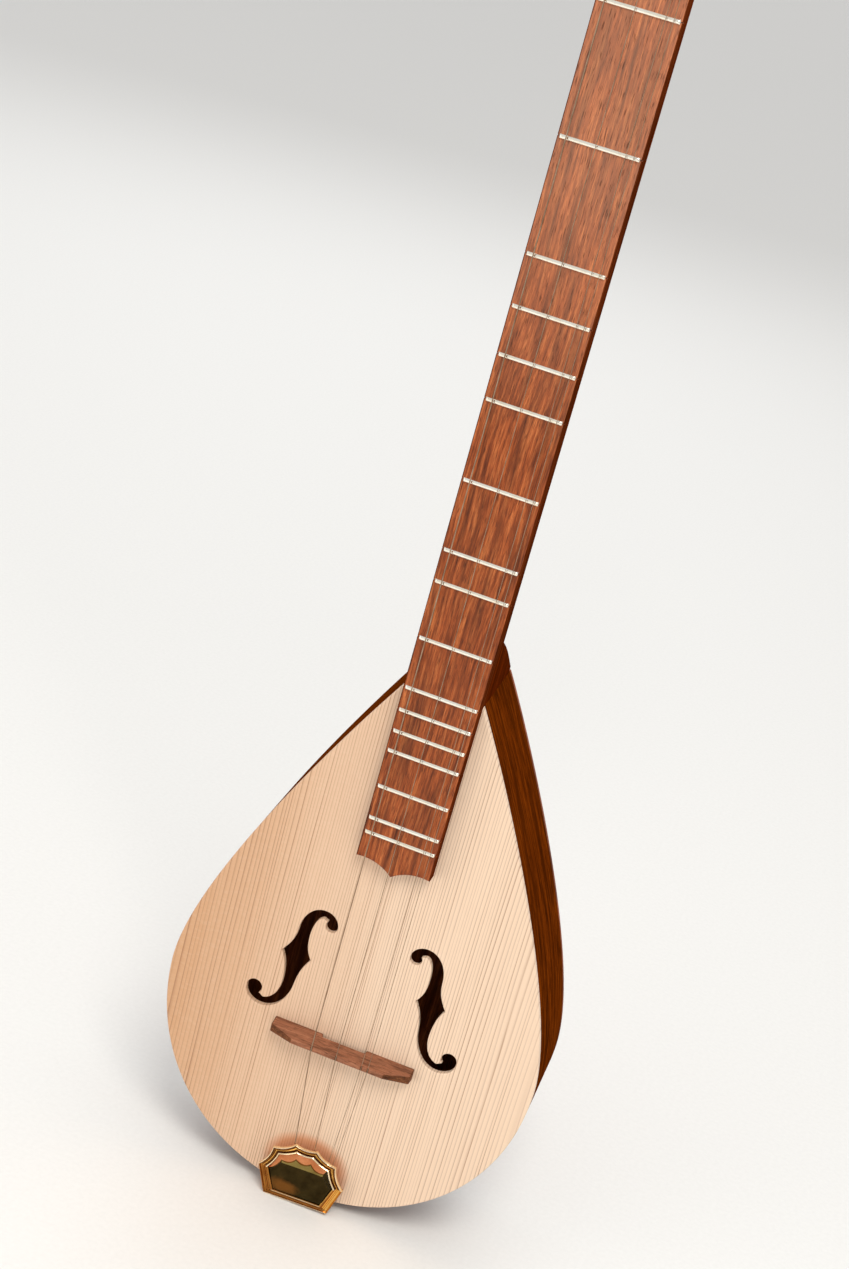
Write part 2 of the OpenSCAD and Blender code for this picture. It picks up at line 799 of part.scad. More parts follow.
module post(k) {
    color(nickel) head_frame() at_post(k) backwards() difference() {
        union() {
            translate([0, 0, -post_front])
                cylinder(post_front + head_t + plate_t + 0.2, r = post_r, $fn = 48);
            translate([-post_square / 2, -post_square / 2, 0]) cube([post_square, post_square, gear_back]);
        }
        translate([0, 20, 2.6 - post_front]) rotate([90, 0, 0]) cylinder(40, r = 0.7, $fn = 24);
        translate([0, 0, gear_back - 4]) cylinder(5, r = gear_screw_r, $fn = 32);
    }
}

module gear_screw(k) {
    color(nickel) head_frame() at_post(k) translate([0, gear_back, 0]) rotate([90, 0, 0])
        screw(gear_screw_r, 3.5, 2.7, 1.1);
}

// ---- Drawing --------------------------------------------------------------------------

soundboard();
back();
treble_rim();
bass_rim();
neck_block();
tail_block();
soundboard_linings();
back_linings();
soundboard_braces();
back_braces();
neck();
heel();
headstock();
headstock_veneer();
fingerboard();
frets();
nut();
bridge();
tailpiece_base();
tailpiece_cover();
tailpiece_screws();
post_bushings();
tuner_screws();
for (k = [0 : 3]) {
    string(k);
    winding(k);
    tuner_plate(k);
    gear(k);
    gear_screw(k);
    post(k);
    worm(k);
    tuner_shaft(k);
    button(k);
}
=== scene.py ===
"""The looks of a long-necked fretted lute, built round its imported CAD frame.

Metres throughout. +X is the treble side, +Z runs up the neck and the soundboard faces -Y.
"""
import json
from math import atan2, cos, pi, radians, sin

import bmesh
import bpy
from mathutils import Matrix, Vector

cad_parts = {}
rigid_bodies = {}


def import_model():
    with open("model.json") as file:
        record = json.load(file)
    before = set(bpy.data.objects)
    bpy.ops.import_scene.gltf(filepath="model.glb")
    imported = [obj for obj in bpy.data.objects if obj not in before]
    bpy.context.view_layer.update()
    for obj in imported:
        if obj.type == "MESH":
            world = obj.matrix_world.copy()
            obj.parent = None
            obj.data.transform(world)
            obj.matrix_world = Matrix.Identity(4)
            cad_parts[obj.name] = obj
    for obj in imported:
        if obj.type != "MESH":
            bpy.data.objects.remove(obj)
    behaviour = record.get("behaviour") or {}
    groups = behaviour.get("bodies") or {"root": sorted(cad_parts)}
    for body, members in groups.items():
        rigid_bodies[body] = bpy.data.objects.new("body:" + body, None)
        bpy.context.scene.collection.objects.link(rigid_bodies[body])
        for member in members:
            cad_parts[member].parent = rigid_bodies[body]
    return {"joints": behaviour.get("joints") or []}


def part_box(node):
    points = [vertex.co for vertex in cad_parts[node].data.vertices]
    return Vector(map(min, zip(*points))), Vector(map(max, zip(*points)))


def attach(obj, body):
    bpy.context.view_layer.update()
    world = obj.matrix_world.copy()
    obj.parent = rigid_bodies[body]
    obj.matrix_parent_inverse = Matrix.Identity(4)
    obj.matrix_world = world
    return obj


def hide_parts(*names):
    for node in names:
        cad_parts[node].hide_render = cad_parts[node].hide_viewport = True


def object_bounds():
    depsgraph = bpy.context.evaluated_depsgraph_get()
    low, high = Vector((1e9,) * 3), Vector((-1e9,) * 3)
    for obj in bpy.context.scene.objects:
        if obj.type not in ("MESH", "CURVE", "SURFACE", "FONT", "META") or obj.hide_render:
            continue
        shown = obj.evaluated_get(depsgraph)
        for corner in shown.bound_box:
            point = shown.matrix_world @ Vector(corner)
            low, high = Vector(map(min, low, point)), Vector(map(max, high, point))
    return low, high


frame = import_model()
cad_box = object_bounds()

MM = 0.001
scene = bpy.context.scene

# ---- Sizes, from the frame -------------------------------------------------------------

body_lo, body_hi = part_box("soundboard")
board_lo, board_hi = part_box("fingerboard")
nut_lo, nut_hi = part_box("nut")
back_lo, back_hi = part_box("back")
frets_lo, frets_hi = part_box("frets")
bridge_lo, bridge_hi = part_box("bridge")
cover_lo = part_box("tailpiece_cover")[0]
base_lo, base_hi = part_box("tailpiece_base")
joints = {j["name"]: j for j in frame["joints"]}

front_y = body_lo.y                       # outer face of the soundboard
half_body = body_hi.x
tail_z = body_lo.z
joint_z = body_hi.z
half_board = board_hi.x
board_y = board_lo.y                      # playing face of the fingerboard
scale_l = nut_lo.z
head_z = nut_hi.z                         # where the headstock starts to lean back
widest_z = 22.6 * MM
board_corner_z = board_lo.z + 5.2 * MM    # the fingerboard's end corners
rim_front_y = body_hi.y                   # glue line of soundboard and sides
rim_back_y = back_lo.y                    # glue line of back and sides

cover_x = (base_lo.x + base_hi.x) / 2
cover_rim_y = cover_lo.y
COVER_CENTRE_Z = -68 * MM

STRINGS = ["bass", "middle", "inner_treble", "outer_treble"]
post_axis = Vector(joints["bass_post_turn"]["axis"])
head_angle = atan2(-post_axis.z, post_axis.y)
head_matrix = Matrix.Translation((0, front_y, head_z)) @ Matrix.Rotation(-head_angle, 4, "X")
BACKWARDS = Matrix.Rotation(-pi / 2, 4, "X")        # turns +Z to the back of the headstock
FORWARDS = Matrix.Rotation(pi / 2, 4, "X")

# ---- Materials -------------------------------------------------------------------------


def srgb(r, g, b):
    """A colour given as it looks on a screen, 0 to 255, as the shader wants it."""
    return tuple(c / 255 / 12.92 if c <= 10 else ((c / 255 + 0.055) / 1.055) ** 2.4 for c in (r, g, b)) + (1,)


class Finish:
    """One material. Each method adds a node and returns the socket that carries its result."""

    def __init__(self, name):
        self.material = bpy.data.materials.new(name)
        self.material.use_nodes = True
        self.tree = self.material.node_tree
        self.shader = self.tree.nodes["Principled BSDF"]

    def feed(self, socket, value):
        """Puts a number, a colour or another node's result into a socket."""
        if isinstance(value, bpy.types.NodeSocket):
            self.tree.links.new(value, socket)
        else:
            socket.default_value = value

    def node(self, kind, out, inputs, **settings):
        made = self.tree.nodes.new("ShaderNode" + kind)
        for key, value in settings.items():
            setattr(made, key, value)
        for key, value in inputs.items():
            self.feed(made.inputs[key], value)
        return made.outputs[out]

    def place(self, stretch=(1, 1, 1)):
        """The point on the object, in metres, with each axis scaled."""
        at = self.node("TexCoord", "Object", {})
        return self.node("Mapping", "Vector", {"Vector": at, "Scale": stretch})

    def noise(self, at, scale, detail=3.0, rough=0.55):
        inputs = {"Vector": at, "Scale": scale, "Detail": detail, "Roughness": rough}
        return self.node("TexNoise", "Fac", inputs)

    def ramp(self, value, *stops):
        """Colours or greys at rising values, blended in between."""
        out = self.node("ValToRGB", "Color", {"Fac": value})
        band = out.node.color_ramp
        while len(band.elements) < len(stops):
            band.elements.new(0.5)
        for element, (position, colour) in zip(band.elements, stops):
            element.position = position
            element.color = colour if isinstance(colour, tuple) else (colour, colour, colour, 1)
        return out

    def blend(self, share, a, b, how="MIX"):
        return self.node("Mix", 2, {0: share, 6: a, 7: b}, data_type="RGBA", blend_type=how)

    def math(self, how, a, b=0.0, c=0.0):
        return self.node("Math", 0, {0: a, 1: b, 2: c}, operation=how)

    def times(self, a, b):
        return self.math("MULTIPLY", a, b)

    def plus(self, a, b):
        return self.math("ADD", a, b)

    def axis(self, name):
        return self.node("SeparateXYZ", name, {"Vector": self.node("TexCoord", "Object", {})})

    def distance(self, centre, squash):
        """Metres from centre. Across the instrument it counts squash times as much."""
        ends = {0: self.place((squash, 1, 1)), 1: (squash * centre[0], centre[1], centre[2])}
        return self.node("VectorMath", "Value", ends, operation="DISTANCE")

    def colour(self, socket):
        self.feed(self.shader.inputs["Base Color"], socket)

    def roughness(self, value, low, high):
        self.feed(self.shader.inputs["Roughness"], self.ramp(value, (0, low), (1, high)))

    def bump(self, height, depth, strength=1.0):
        """Raises the surface by up to depth metres where height is 1."""
        normal = self.node("Bump", "Normal", {"Height": height, "Distance": depth, "Strength": strength})
        self.feed(self.shader.inputs["Normal"], normal)

    def set(self, **values):
        for key, value in values.items():
            self.feed(self.shader.inputs[key.replace("_", " ")], value)
        return self.material


def spruce(name, pale, shaded_amber, line, centre_rings, edge_rings):
    """Quarter-sawn softwood, book-matched, with rings per metre that widen from the centre line to the edges.

    Painted shade makes its bass half amber; round the cover the brass's reflection and shade are painted.
    """
    pale, shaded_amber, line = srgb(*pale), srgb(*shaded_amber), srgb(*line)
    f = Finish(name)
    across = f.math("ABSOLUTE", f.axis("X"))
    drift = f.noise(f.place((1, 1, 0.08)), 42, 2)
    growth = f.noise(f.place((1, 0.2, 0.01)), 95, 3)
    widening = (centre_rings - edge_rings) / (2 * half_body)
    density = f.math("MULTIPLY_ADD", across, -widening, centre_rings)
    rings = f.times(across, density)
    rings = f.plus(rings, f.times(drift, 2.2))
    rings = f.plus(rings, f.times(growth, 3.0))
    late = f.ramp(f.math("FRACT", rings), (0.0, 0.25), (0.07, 0.0), (0.62, 0.06), (0.84, 0.42), (0.95, 1.0),
                  (1.0, 0.3))
    strength = f.ramp(f.noise(f.place((1, 0.2, 0.012)), 300, 2), (0.38, 0.4), (0.60, 1.0))
    fade = f.ramp(f.noise(f.place((1, 1, 0.25)), 60, 4), (0.3, 0.7), (0.7, 1.0))
    mark = f.times(f.times(late, strength), fade)
    # Painted shade: the bass half is made amber and the treble half pale, with random clouds mixed in.
    half = f.math("MULTIPLY_ADD", f.axis("X"), 0.5 / half_body, 0.5)
    cloud = f.math("MULTIPLY_ADD", f.noise(f.place((1, 1, 0.06)), 26, 3), 0.24, f.plus(half, -0.12))
    tone = f.ramp(cloud, (0.05, shaded_amber), (0.55, pale))
    silk = f.ramp(f.noise(f.place((0.35, 1, 1)), 900, 2), (0.45, 0.0), (0.8, 0.10))
    tone = f.blend(silk, tone, SPRUCE_SILK)
    tone = f.blend(mark, tone, line)
    # Painted reflection and shade from the brass cover: the spruce turns orange round it.
    near_cover = f.times(f.distance(PAINTED_REFLECTION_CENTRE, 0.8), 20)
    painted_reflection = f.ramp(near_cover, (0.29, 0.6), (0.385, 0.0))
    f.colour(f.blend(painted_reflection, tone, PAINTED_BRASS_REFLECTION))
    f.roughness(late, 0.44, 0.58)
    fibres = f.noise(f.place((1, 1, 0.03)), 3000, 2)
    relief = f.plus(f.times(late, -0.5), f.times(fibres, 0.4))
    f.bump(relief, 0.02 * MM, 0.35)
    return f.set(Specular_IOR_Level=0.4)


def hardwood(name, tones, grain, streaks, gloss=(0.36, 0.52), pore_depth=0.10 * MM, shine=0.35, spread=0.2,
             painted_sheen=0.0):
    """Figured wood in three tones, from dark to light, with open pores.

    grain is how far the figure is stretched on each axis, streaks how fine it is, spread how soft, and
    painted_sheen how much lighter a painted sheen makes the wood towards the nut.
    """
    dark, mid, light = (srgb(*tone) for tone in tones)
    pore_tone = tuple(c * 0.35 for c in dark[:3]) + (1,)
    f = Finish(name)
    wander = f.noise(f.place((1, 1, 0.35)), 18, 2)
    bend = f.node("CombineXYZ", "Vector", {"X": f.times(wander, 0.010),
                                           "Y": f.times(wander, 0.006), "Z": 0.0})
    bent = f.node("VectorMath", "Vector", {0: f.place(grain), 1: bend})
    broad = f.noise(bent, streaks * 0.32, 3, 0.6)
    fine = f.noise(bent, streaks, 4, 0.65)
    hair = f.noise(bent, streaks * 5.5, 2, 0.6)
    base = f.ramp(fine, (0.50 - spread, dark), (0.50, mid), (0.50 + spread, light))
    shade = f.ramp(broad, (0.33, 0.45), (0.52, 0.95), (0.72, 1.15))
    base = f.blend(1.0, base, shade, "MULTIPLY")
    base = f.blend(f.ramp(hair, (0.42, 0.0), (0.62, 0.5)), base, dark)
    # Painted sheen: the wood is made paler towards the nut, where more light falls.
    if painted_sheen:
        base = f.blend(f.ramp(f.axis("Z"), (0.34, 0.0), (0.46, painted_sheen)), base, PAINTED_NUT_END_SHEEN)
    pores = f.noise(f.place(tuple(2.6 if a == 1 else 2.6 * max(a, 0.07) for a in grain)), 900, 1, 0.4)
    pore = f.ramp(pores, (0.60, 0.0), (0.68, 1.0))
    f.colour(f.blend(f.times(pore, 0.62), base, pore_tone))
    f.roughness(fine, *gloss)
    f.bump(f.plus(f.times(pore, -1.0), f.times(hair, 0.25)), pore_depth, 0.6)
    return f.set(Specular_IOR_Level=shine, Coat_Weight=0.05 if shine > 0.2 else 0.0, Coat_Roughness=0.25)


def metal(name, colour, wear, rough, scratch=1.0, painted_reflection_patch=None):
    """Polished metal, faintly scratched and dulled by handling. A patch is (centre, colour)."""
    f = Finish(name)
    cloud = f.noise(f.place(), 160, 4)
    tone = f.blend(f.ramp(cloud, (0.35, 0.0), (0.75, 1.0)), srgb(*colour), srgb(*wear))
    # The patch is a painted reflection: a brown patch on the cover's dark plate.
    if painted_reflection_patch:
        centre, painted_reflection_colour = painted_reflection_patch
        edge = f.math("MULTIPLY_ADD", cloud, 0.5, f.times(f.distance(centre, 0.55), 90))
        tone = f.blend(f.ramp(edge, (0.45, 0.8), (0.75, 0.0)), tone, srgb(*painted_reflection_colour))
    f.colour(tone)
    fine = f.noise(f.place((1, 1, 0.12)), 4200, 3, 0.7)
    uneven = f.math("MULTIPLY_ADD", fine, 0.4, f.times(cloud, 0.6))
    f.roughness(uneven, rough * 0.6, rough * 1.6)
    f.bump(fine, 0.004 * MM * scratch, 0.6)
    return f.set(Metallic=1.0)


def plastic(name, colour, shade, rough):
    """Cast plastic or bone: clouded through its depth, with a soft gloss."""
    f = Finish(name)
    cloud = f.noise(f.place((1, 1, 0.5)), 190, 5, 0.6)
    f.colour(f.ramp(cloud, (0.32, srgb(*shade)), (0.62, srgb(*colour))))
    f.roughness(f.noise(f.place(), 900, 3), rough * 0.7, rough * 1.5)
    f.bump(f.noise(f.place(), 700, 2), 0.01 * MM, 0.4)
    return f.set(Subsurface_Weight=0.08, Subsurface_Radius=(0.002, 0.0015, 0.001))


SPRUCE_SILK = srgb(246, 224, 202)
# Orange of the painted reflection and shade from the brass, on the spruce round the cover
PAINTED_BRASS_REFLECTION = srgb(214, 124, 58)
# Pale tone of the painted sheen on the fingerboard towards the nut
PAINTED_NUT_END_SHEEN = srgb(240, 196, 166)
# Centre of the painted reflection and shade round the cover
PAINTED_REFLECTION_CENTRE = (cover_x, front_y, COVER_CENTRE_Z + 3.5 * MM)
# A brown painted reflection on the cover's sunken plate, and where it centres
PLATE_PAINTED_REFLECTION = ((cover_x - 8 * MM, cover_rim_y, COVER_CENTRE_Z - 10 * MM), (136, 88, 40))

# How far the figure is stretched along x, y and z
UP_GRAIN = (1, 1, 0.045)
ROUND_GRAIN = (0.05, 1, 0.05)
SHORT_GRAIN = (1, 1, 0.05)
FINE_CROSS = (0.12, 1, 1)
OILED = {"gloss": (0.50, 0.64), "shine": 0.0}

SPRUCE = spruce("spruce", (234, 206, 179), (206, 160, 121), (134, 80, 44), 760, 360)
# Inside the body the spruce is made dark: painted shade
INNER_SPRUCE_SHADED = spruce("inner_spruce", (132, 94, 60), (122, 84, 52), (96, 62, 36), 620, 420)
BOARD_WOOD = hardwood("board_rosewood", [(98, 42, 15), (162, 80, 36), (202, 116, 62)], SHORT_GRAIN, 820,
                      gloss=(0.34, 0.50), pore_depth=0.08 * MM, shine=0.22, spread=0.18, painted_sheen=0.14)
# The fingerboard's sides: a darker copy of the board's wood, painted shade
BOARD_SIDE_SHADED = hardwood("board_rosewood_side_painted_shade", [(70, 26, 8), (100, 42, 14), (122, 58, 26)], SHORT_GRAIN, 820,
                      pore_depth=0.05 * MM, spread=0.18, **OILED)
# The neck, heel and headstock: the board's wood made darker, painted shade
NECK_WOOD_SHADED = hardwood("neck_rosewood", [(64, 20, 2), (98, 34, 4), (124, 50, 9)], UP_GRAIN, 420,
                     pore_depth=0.05 * MM, spread=0.18, **OILED)
RIM_WOOD = hardwood("rim_walnut", [(66, 25, 2), (106, 44, 4), (136, 62, 9)], ROUND_GRAIN, 640,
                    pore_depth=0.03 * MM, spread=0.17, **OILED)
BACK_WOOD = hardwood("back_walnut", [(104, 48, 20), (154, 78, 40), (186, 102, 58)], UP_GRAIN, 320,
                     gloss=(0.46, 0.60), pore_depth=0.04 * MM, shine=0.10, spread=0.16)
BRIDGE_WOOD = hardwood("bridge_wood", [(120, 72, 48), (160, 104, 76), (184, 126, 94)], FINE_CROSS, 1300,
                       gloss=(0.50, 0.64), pore_depth=0.04 * MM, shine=0.15, spread=0.22)
# The bridge's wings: darker end grain, deepened by painted shade
BRIDGE_END_GRAIN_AND_SHADE = hardwood("bridge_end_grain_and_painted_shade", [(76, 42, 24), (122, 74, 46), (150, 96, 62)], FINE_CROSS, 1300,
                      gloss=(0.54, 0.68), pore_depth=0.04 * MM, shine=0.10, spread=0.18)
VENEER_WOOD = hardwood("veneer_rosewood", [(62, 26, 14), (104, 48, 26), (132, 66, 38)], UP_GRAIN, 210)
BRASS = metal("brass", (236, 186, 100), (214, 152, 64), 0.14)
# Cover brass copies with painted light: highlight on beads, shade in the groove, reflections on the rest
BRASS_BEAD_HIGHLIGHT = metal("brass_bead_painted_highlight", (255, 240, 206), (255, 218, 160), 0.10)
BRASS_BAND_REFLECTION = metal("brass_band_painted_reflection", (176, 120, 56), (146, 90, 38), 0.16)
BRASS_PLATE_DARK_REFLECTION = metal("brass_plate_painted_dark_reflection", (64, 53, 28), (38, 29, 13), 0.12, painted_reflection_patch=PLATE_PAINTED_REFLECTION)
BRASS_GROOVE_SHADE = metal("brass_groove_painted_shade", (132, 86, 42), (84, 50, 22), 0.16)
BRASS_PETAL_REFLECTION = metal("brass_petal_painted_reflection", (220, 148, 102), (188, 110, 62), 0.20)
BRASS_RAMP_REFLECTION = metal("brass_ramp_painted_reflection", (152, 136, 80), (122, 104, 52), 0.16)
NICKEL = metal("nickel", (214, 210, 202), (196, 190, 178), 0.16)
FRET_METAL = metal("fret_nickel", (255, 252, 240), (246, 236, 214), 0.10, scratch=0.4)
STEEL = metal("steel", (196, 196, 196), (176, 174, 170), 0.24)
STRING_METAL = metal("string_steel", (176, 152, 128), (128, 102, 78), 0.30)
BONE = plastic("bone", (238, 230, 208), (220, 206, 174), 0.30)
BUTTON_CREAM = plastic("button_cream", (236, 224, 192), (222, 204, 162), 0.18)

# ---- Making meshes ---------------------------------------------------------------------


def piece(name, bm, material, node, body, matrix=None, sharp=32.0, weighted=True):
    """Turns bm into a finished piece that stands for a CAD node, or for several."""
    bmesh.ops.recalc_face_normals(bm, faces=bm.faces)
    if matrix:
        bm.transform(matrix)
    mesh = bpy.data.meshes.new(name)
    bm.to_mesh(mesh)
    bm.free()
    mesh.shade_smooth()
    mesh.set_sharp_from_angle(angle=radians(sharp))
    for m in material if isinstance(material, list) else [material]:
        mesh.materials.append(m)
    made = bpy.data.objects.new(name, mesh)
    scene.collection.objects.link(made)
    if weighted:
        shading = made.modifiers.new("even shading", "WEIGHTED_NORMAL")
        shading.keep_sharp = True
    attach(made, body)
    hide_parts(*([node] if isinstance(node, str) else node))
    return made


def cubic(a, b, c, d, n):
    """n points along a cubic curve from a, with handles b and c, up to but not including d."""
    return [(1 - t) ** 3 * a + 3 * (1 - t) ** 2 * t * b + 3 * (1 - t) * t * t * c + t ** 3 * d
            for t in (i / n for i in range(n))]


def round_turn(n):
    """n angles, evenly round a full turn."""
    return [2 * pi * i / n for i in range(n)]


def angles(start, end, n):
    """n + 1 angles from start to end, which are in degrees."""
    return [radians(start + (end - start) * i / n) for i in range(n + 1)]


def mm(pairs):
    """Pairs written in millimetres, as metres."""
    return [(a * MM, b * MM) for a, b in pairs]


def mm_point(a, b):
    return Vector((a, b)) * MM


def mirrored(points):
    return [Vector((-p.x, p.y)) for p in reversed(points)]


def bowed(p, q, sag, n=12):
    """Points from p to q along a shallow arc that bows to the left of the way, without q."""
    side = Vector((p.y - q.y, q.x - p.x)).normalized()
    return [p + (q - p) * (i / n) + side * sag * (1 - (2 * i / n - 1) ** 2) for i in range(n)]


def shifted(points, inset):
    """A closed outline, anticlockwise, moved inwards by inset."""
    if abs(inset) < 1e-9:
        return list(points)
    moved = []
    for i, p in enumerate(points):
        before = (p - points[i - 1]).normalized()
        after = (points[(i + 1) % len(points)] - p).normalized()
        left = Vector((-before.y, before.x)) + Vector((-after.y, after.x))
        left /= max(left.length_squared / 2, 0.6)
        moved.append(p + left * inset)
    return moved


def walls(bm, rings):
    """Joins rings of vertices, each as long as the next, with quads."""
    for a, b in zip(rings, rings[1:]):
        for i in range(len(a)):
            j = (i + 1) % len(a)
            bm.faces.new((a[i], a[j], b[j], b[i]))


def add_loft(bm, rings):
    """A solid through rings of points, each as long as the next. Its faces are turned outwards later."""
    made = [[bm.verts.new(point) for point in ring] for ring in rings]
    walls(bm, made)
    bm.faces.new(made[0])
    bm.faces.new(reversed(made[-1]))


def ring_edges(bm, ring):
    return [bm.edges.get((ring[i - 1], ring[i])) for i in range(len(ring))]


def add_slab(bm, outline, steps, holes=(), hole_steps=None, to_3d=lambda p, y: (p.x, y, p.y)):
    """A plate with holes. steps are (inset, level) pairs from one face to the other."""
    ends = []
    for points, profile, sign in [(outline, steps, 1)] + [(h, hole_steps or steps, -1) for h in holes]:
        rings = [[bm.verts.new(to_3d(p, level)) for p in shifted(points, sign * inset)]
                 for inset, level in profile]
        walls(bm, rings)
        ends.append((rings[0], rings[-1]))
    for side in (0, 1):
        edges = [e for pair in ends for e in ring_edges(bm, pair[side])]
        bmesh.ops.triangle_fill(bm, use_beauty=True, edges=edges)


def rounded(back, front, r_back, r_front, steps=4):
    """(inset, y) steps of a plate from its back face to its front face, with rounded edges."""
    way = -1 if back > front else 1
    turn = angles(0, 90, steps)
    rear = [(r_back * (1 - sin(a)), back + way * r_back * (1 - cos(a))) for a in turn]
    fore = [(r_front * (1 - cos(a)), front - way * r_front * (1 - sin(a))) for a in turn]
    return (rear if r_back else [(0, back)]) + (fore if r_front else [(0, front)])


def circle(x, y, r, n=32):
    return [Vector((x + r * cos(a), y + r * sin(a))) for a in round_turn(n)]


def add_lathe(bm, profile, matrix=Matrix.Identity(4), n=48):
    """A turned solid along +Z of matrix.

    profile is (radius, height) pairs, from the axis out and back to it, or all round a ring.
    """
    rings, ends = [], []
    for r, h in profile:
        if r < 1e-9:
            ends.append(bm.verts.new(matrix @ Vector((0, 0, h))))
        else:
            rings.append([bm.verts.new(matrix @ Vector((r * cos(a), r * sin(a), h))) for a in round_turn(n)])
    walls(bm, rings)
    for tip, ring in zip(ends, (rings[0], rings[-1])):
        for i in range(n):
            bm.faces.new((tip, ring[i - 1], ring[i]))
    if not ends:
        walls(bm, [rings[-1], rings[0]])


def add_tube(bm, points, r, n=12):
    """A round wire along a route, with flat ends."""
    rings, side = [], None
    for i, p in enumerate(points):
        ahead = points[min(i + 1, len(points) - 1)] - points[min(i, len(points) - 2)]
        behind = points[max(i, 1)] - points[max(i - 1, 0)]
        way = (ahead.normalized() + behind.normalized()).normalized()
        side = way.orthogonal() if side is None else side - way * side.dot(way)
        side.normalize()
        up = way.cross(side)
        rings.append([p + r * (cos(a) * side + sin(a) * up) for a in round_turn(n)])
    add_loft(bm, rings)


def add_box(bm, lo, hi, matrix=Matrix.Identity(4)):
    made = bmesh.ops.create_cube(bm, size=1.0)["verts"]
    for v in made:
        v.co = Vector((lo[i] + (hi[i] - lo[i]) * (v.co[i] + 0.5) for i in range(3)))
    bmesh.ops.transform(bm, matrix=matrix, verts=made)


def cut(bm, cutter):
    """Takes the solids in cutter out of bm, and returns what is left."""
    return combine(bm, cutter, "DIFFERENCE")


def combine(bm, other, how):
    """What a boolean of two solids leaves. Both are used up."""
    objects = []
    for part in (bm, other):
        bmesh.ops.recalc_face_normals(part, faces=part.faces)
        mesh = bpy.data.meshes.new("temporary")
        part.to_mesh(mesh)
        part.free()
        made = bpy.data.objects.new("temporary", mesh)
        scene.collection.objects.link(made)
        objects.append(made)
    step = objects[0].modifiers.new("join", "BOOLEAN")
    step.operation = how
    step.object = objects[1]
    step.solver = "EXACT"
    result = bmesh.new()
    bpy.context.view_layer.update()
    result.from_object(objects[0], bpy.context.evaluated_depsgraph_get())
    for o in objects:
        mesh = o.data
        bpy.data.objects.remove(o)
        bpy.data.meshes.remove(mesh)
    return result


def ease_edges(bm, width, angle, segments=2):
    """Rounds every edge that turns by more than angle degrees."""
    bmesh.ops.remove_doubles(bm, verts=bm.verts, dist=1e-6)
    bmesh.ops.dissolve_limit(bm, angle_limit=radians(0.5), verts=bm.verts, edges=bm.edges)
    hard = [e for e in bm.edges if len(e.link_faces) == 2 and e.calc_face_angle(0) > radians(angle)]
    bmesh.ops.bevel(bm, geom=hard, offset=width, segments=segments, profile=0.5, affect="EDGES",
                    clamp_overlap=True)


# ---- Body ------------------------------------------------------------------------------

CURVE_STEPS = 56                          # along each quarter of the outline
SHOULDER_ANGLE = radians(31)              # between the outline and the neck where they meet
TAIL_REACH, HIP_REACH, WAIST_REACH, SHOULDER_REACH = 53, 62, 47, 46      # curve handles, in mm
RIM_T = 2.4 * MM
TOP_EDGE_R, BACK_EDGE_R = 0.7 * MM, 0.8 * MM

tail = Vector((0, tail_z))
widest = Vector((half_body, widest_z))
joint = Vector((half_board, joint_z))
shoulder = Vector((sin(SHOULDER_ANGLE), -cos(SHOULDER_ANGLE)))
half_outline = (
    cubic(tail, tail + mm_point(TAIL_REACH, 0), widest - mm_point(0, HIP_REACH), widest,
          CURVE_STEPS)
    + cubic(widest, widest + mm_point(0, WAIST_REACH), joint + SHOULDER_REACH * MM * shoulder, joint,
            CURVE_STEPS)
    + [joint])
outline = half_outline + mirrored(half_outline)[:-1]

# The sound hole's outer and inner lines as curves with two handles each, and its eyes, in mm
F_CURVES = [
    [(19.3, 72.3), (19.3, 76.3), (22.6, 79.5), (27, 79.5)],
    [(27, 79.5), (33.5, 79.5), (38, 73), (38.2, 65)],
    [(38.2, 65), (38.4, 58), (40.5, 55), (43.6, 50.2)],
    [(43.6, 50.2), (41, 46.2), (39.4, 41), (39.4, 33)],
    [(39.4, 33), (39.4, 26), (43, 20.3), (48.3, 20.3)]]
F_CURVES_BACK = [
    [(56.5, 23.8), (56.5, 18.8), (52.3, 15.8), (47.5, 15.8)],
    [(47.5, 15.8), (39.5, 15.8), (34.2, 24.5), (33.4, 34)],
    [(33.4, 34), (32.7, 41), (31.5, 44.5), (28.2, 50)],
    [(28.2, 50), (30.2, 53), (31.9, 55.5), (31.9, 63)],
    [(31.9, 63), (31.9, 70), (30, 75), (27, 75)]]
UPPER_EYE, UPPER_EYE_R = (22.4, 72.1), 3.1
LOWER_EYE, LOWER_EYE_R = (52.5, 24.6), 4.0


def chain(curves, n):
    return [p for c in curves for p in cubic(*[Vector(q) * MM for q in c], n)]


def eye(centre, r, start, end, n):
    """Part of a round eye, clockwise from start to end in degrees."""
    return [Vector(centre) * MM + r * MM * Vector((cos(a), sin(a))) for a in angles(start, end, n)]


def f_hole(hand):
    """The outline of the treble (1) or bass (-1) sound hole, anticlockwise."""
    points = (chain(F_CURVES, 12) + eye(LOWER_EYE, LOWER_EYE_R, 222, -10, 26)
              + chain(F_CURVES_BACK, 12)[1:] + [Vector(F_CURVES_BACK[-1][-1]) * MM]
              + eye(UPPER_EYE, UPPER_EYE_R, 38, -178, 22))
    closest = 0.12 * MM
    points = [p for i, p in enumerate(points) if (p - points[i - 1]).length > closest]
    return list(reversed(points)) if hand > 0 else [Vector((-p.x, p.y)) for p in points]


def soundboard():
    bm = bmesh.new()
    add_slab(bm, outline, rounded(rim_front_y, front_y, 0, TOP_EDGE_R),
             [f_hole(1), f_hole(-1)], rounded(rim_front_y, front_y, 0.25 * MM, 0.5 * MM, 3))
    piece("soundboard_spruce", bm, SPRUCE, "soundboard", "instrument")


def back():
    bm = bmesh.new()
    add_slab(bm, outline, rounded(back_hi.y, rim_back_y, BACK_EDGE_R, 0, 5))
    piece("back_plate", bm, BACK_WOOD, "back", "instrument")


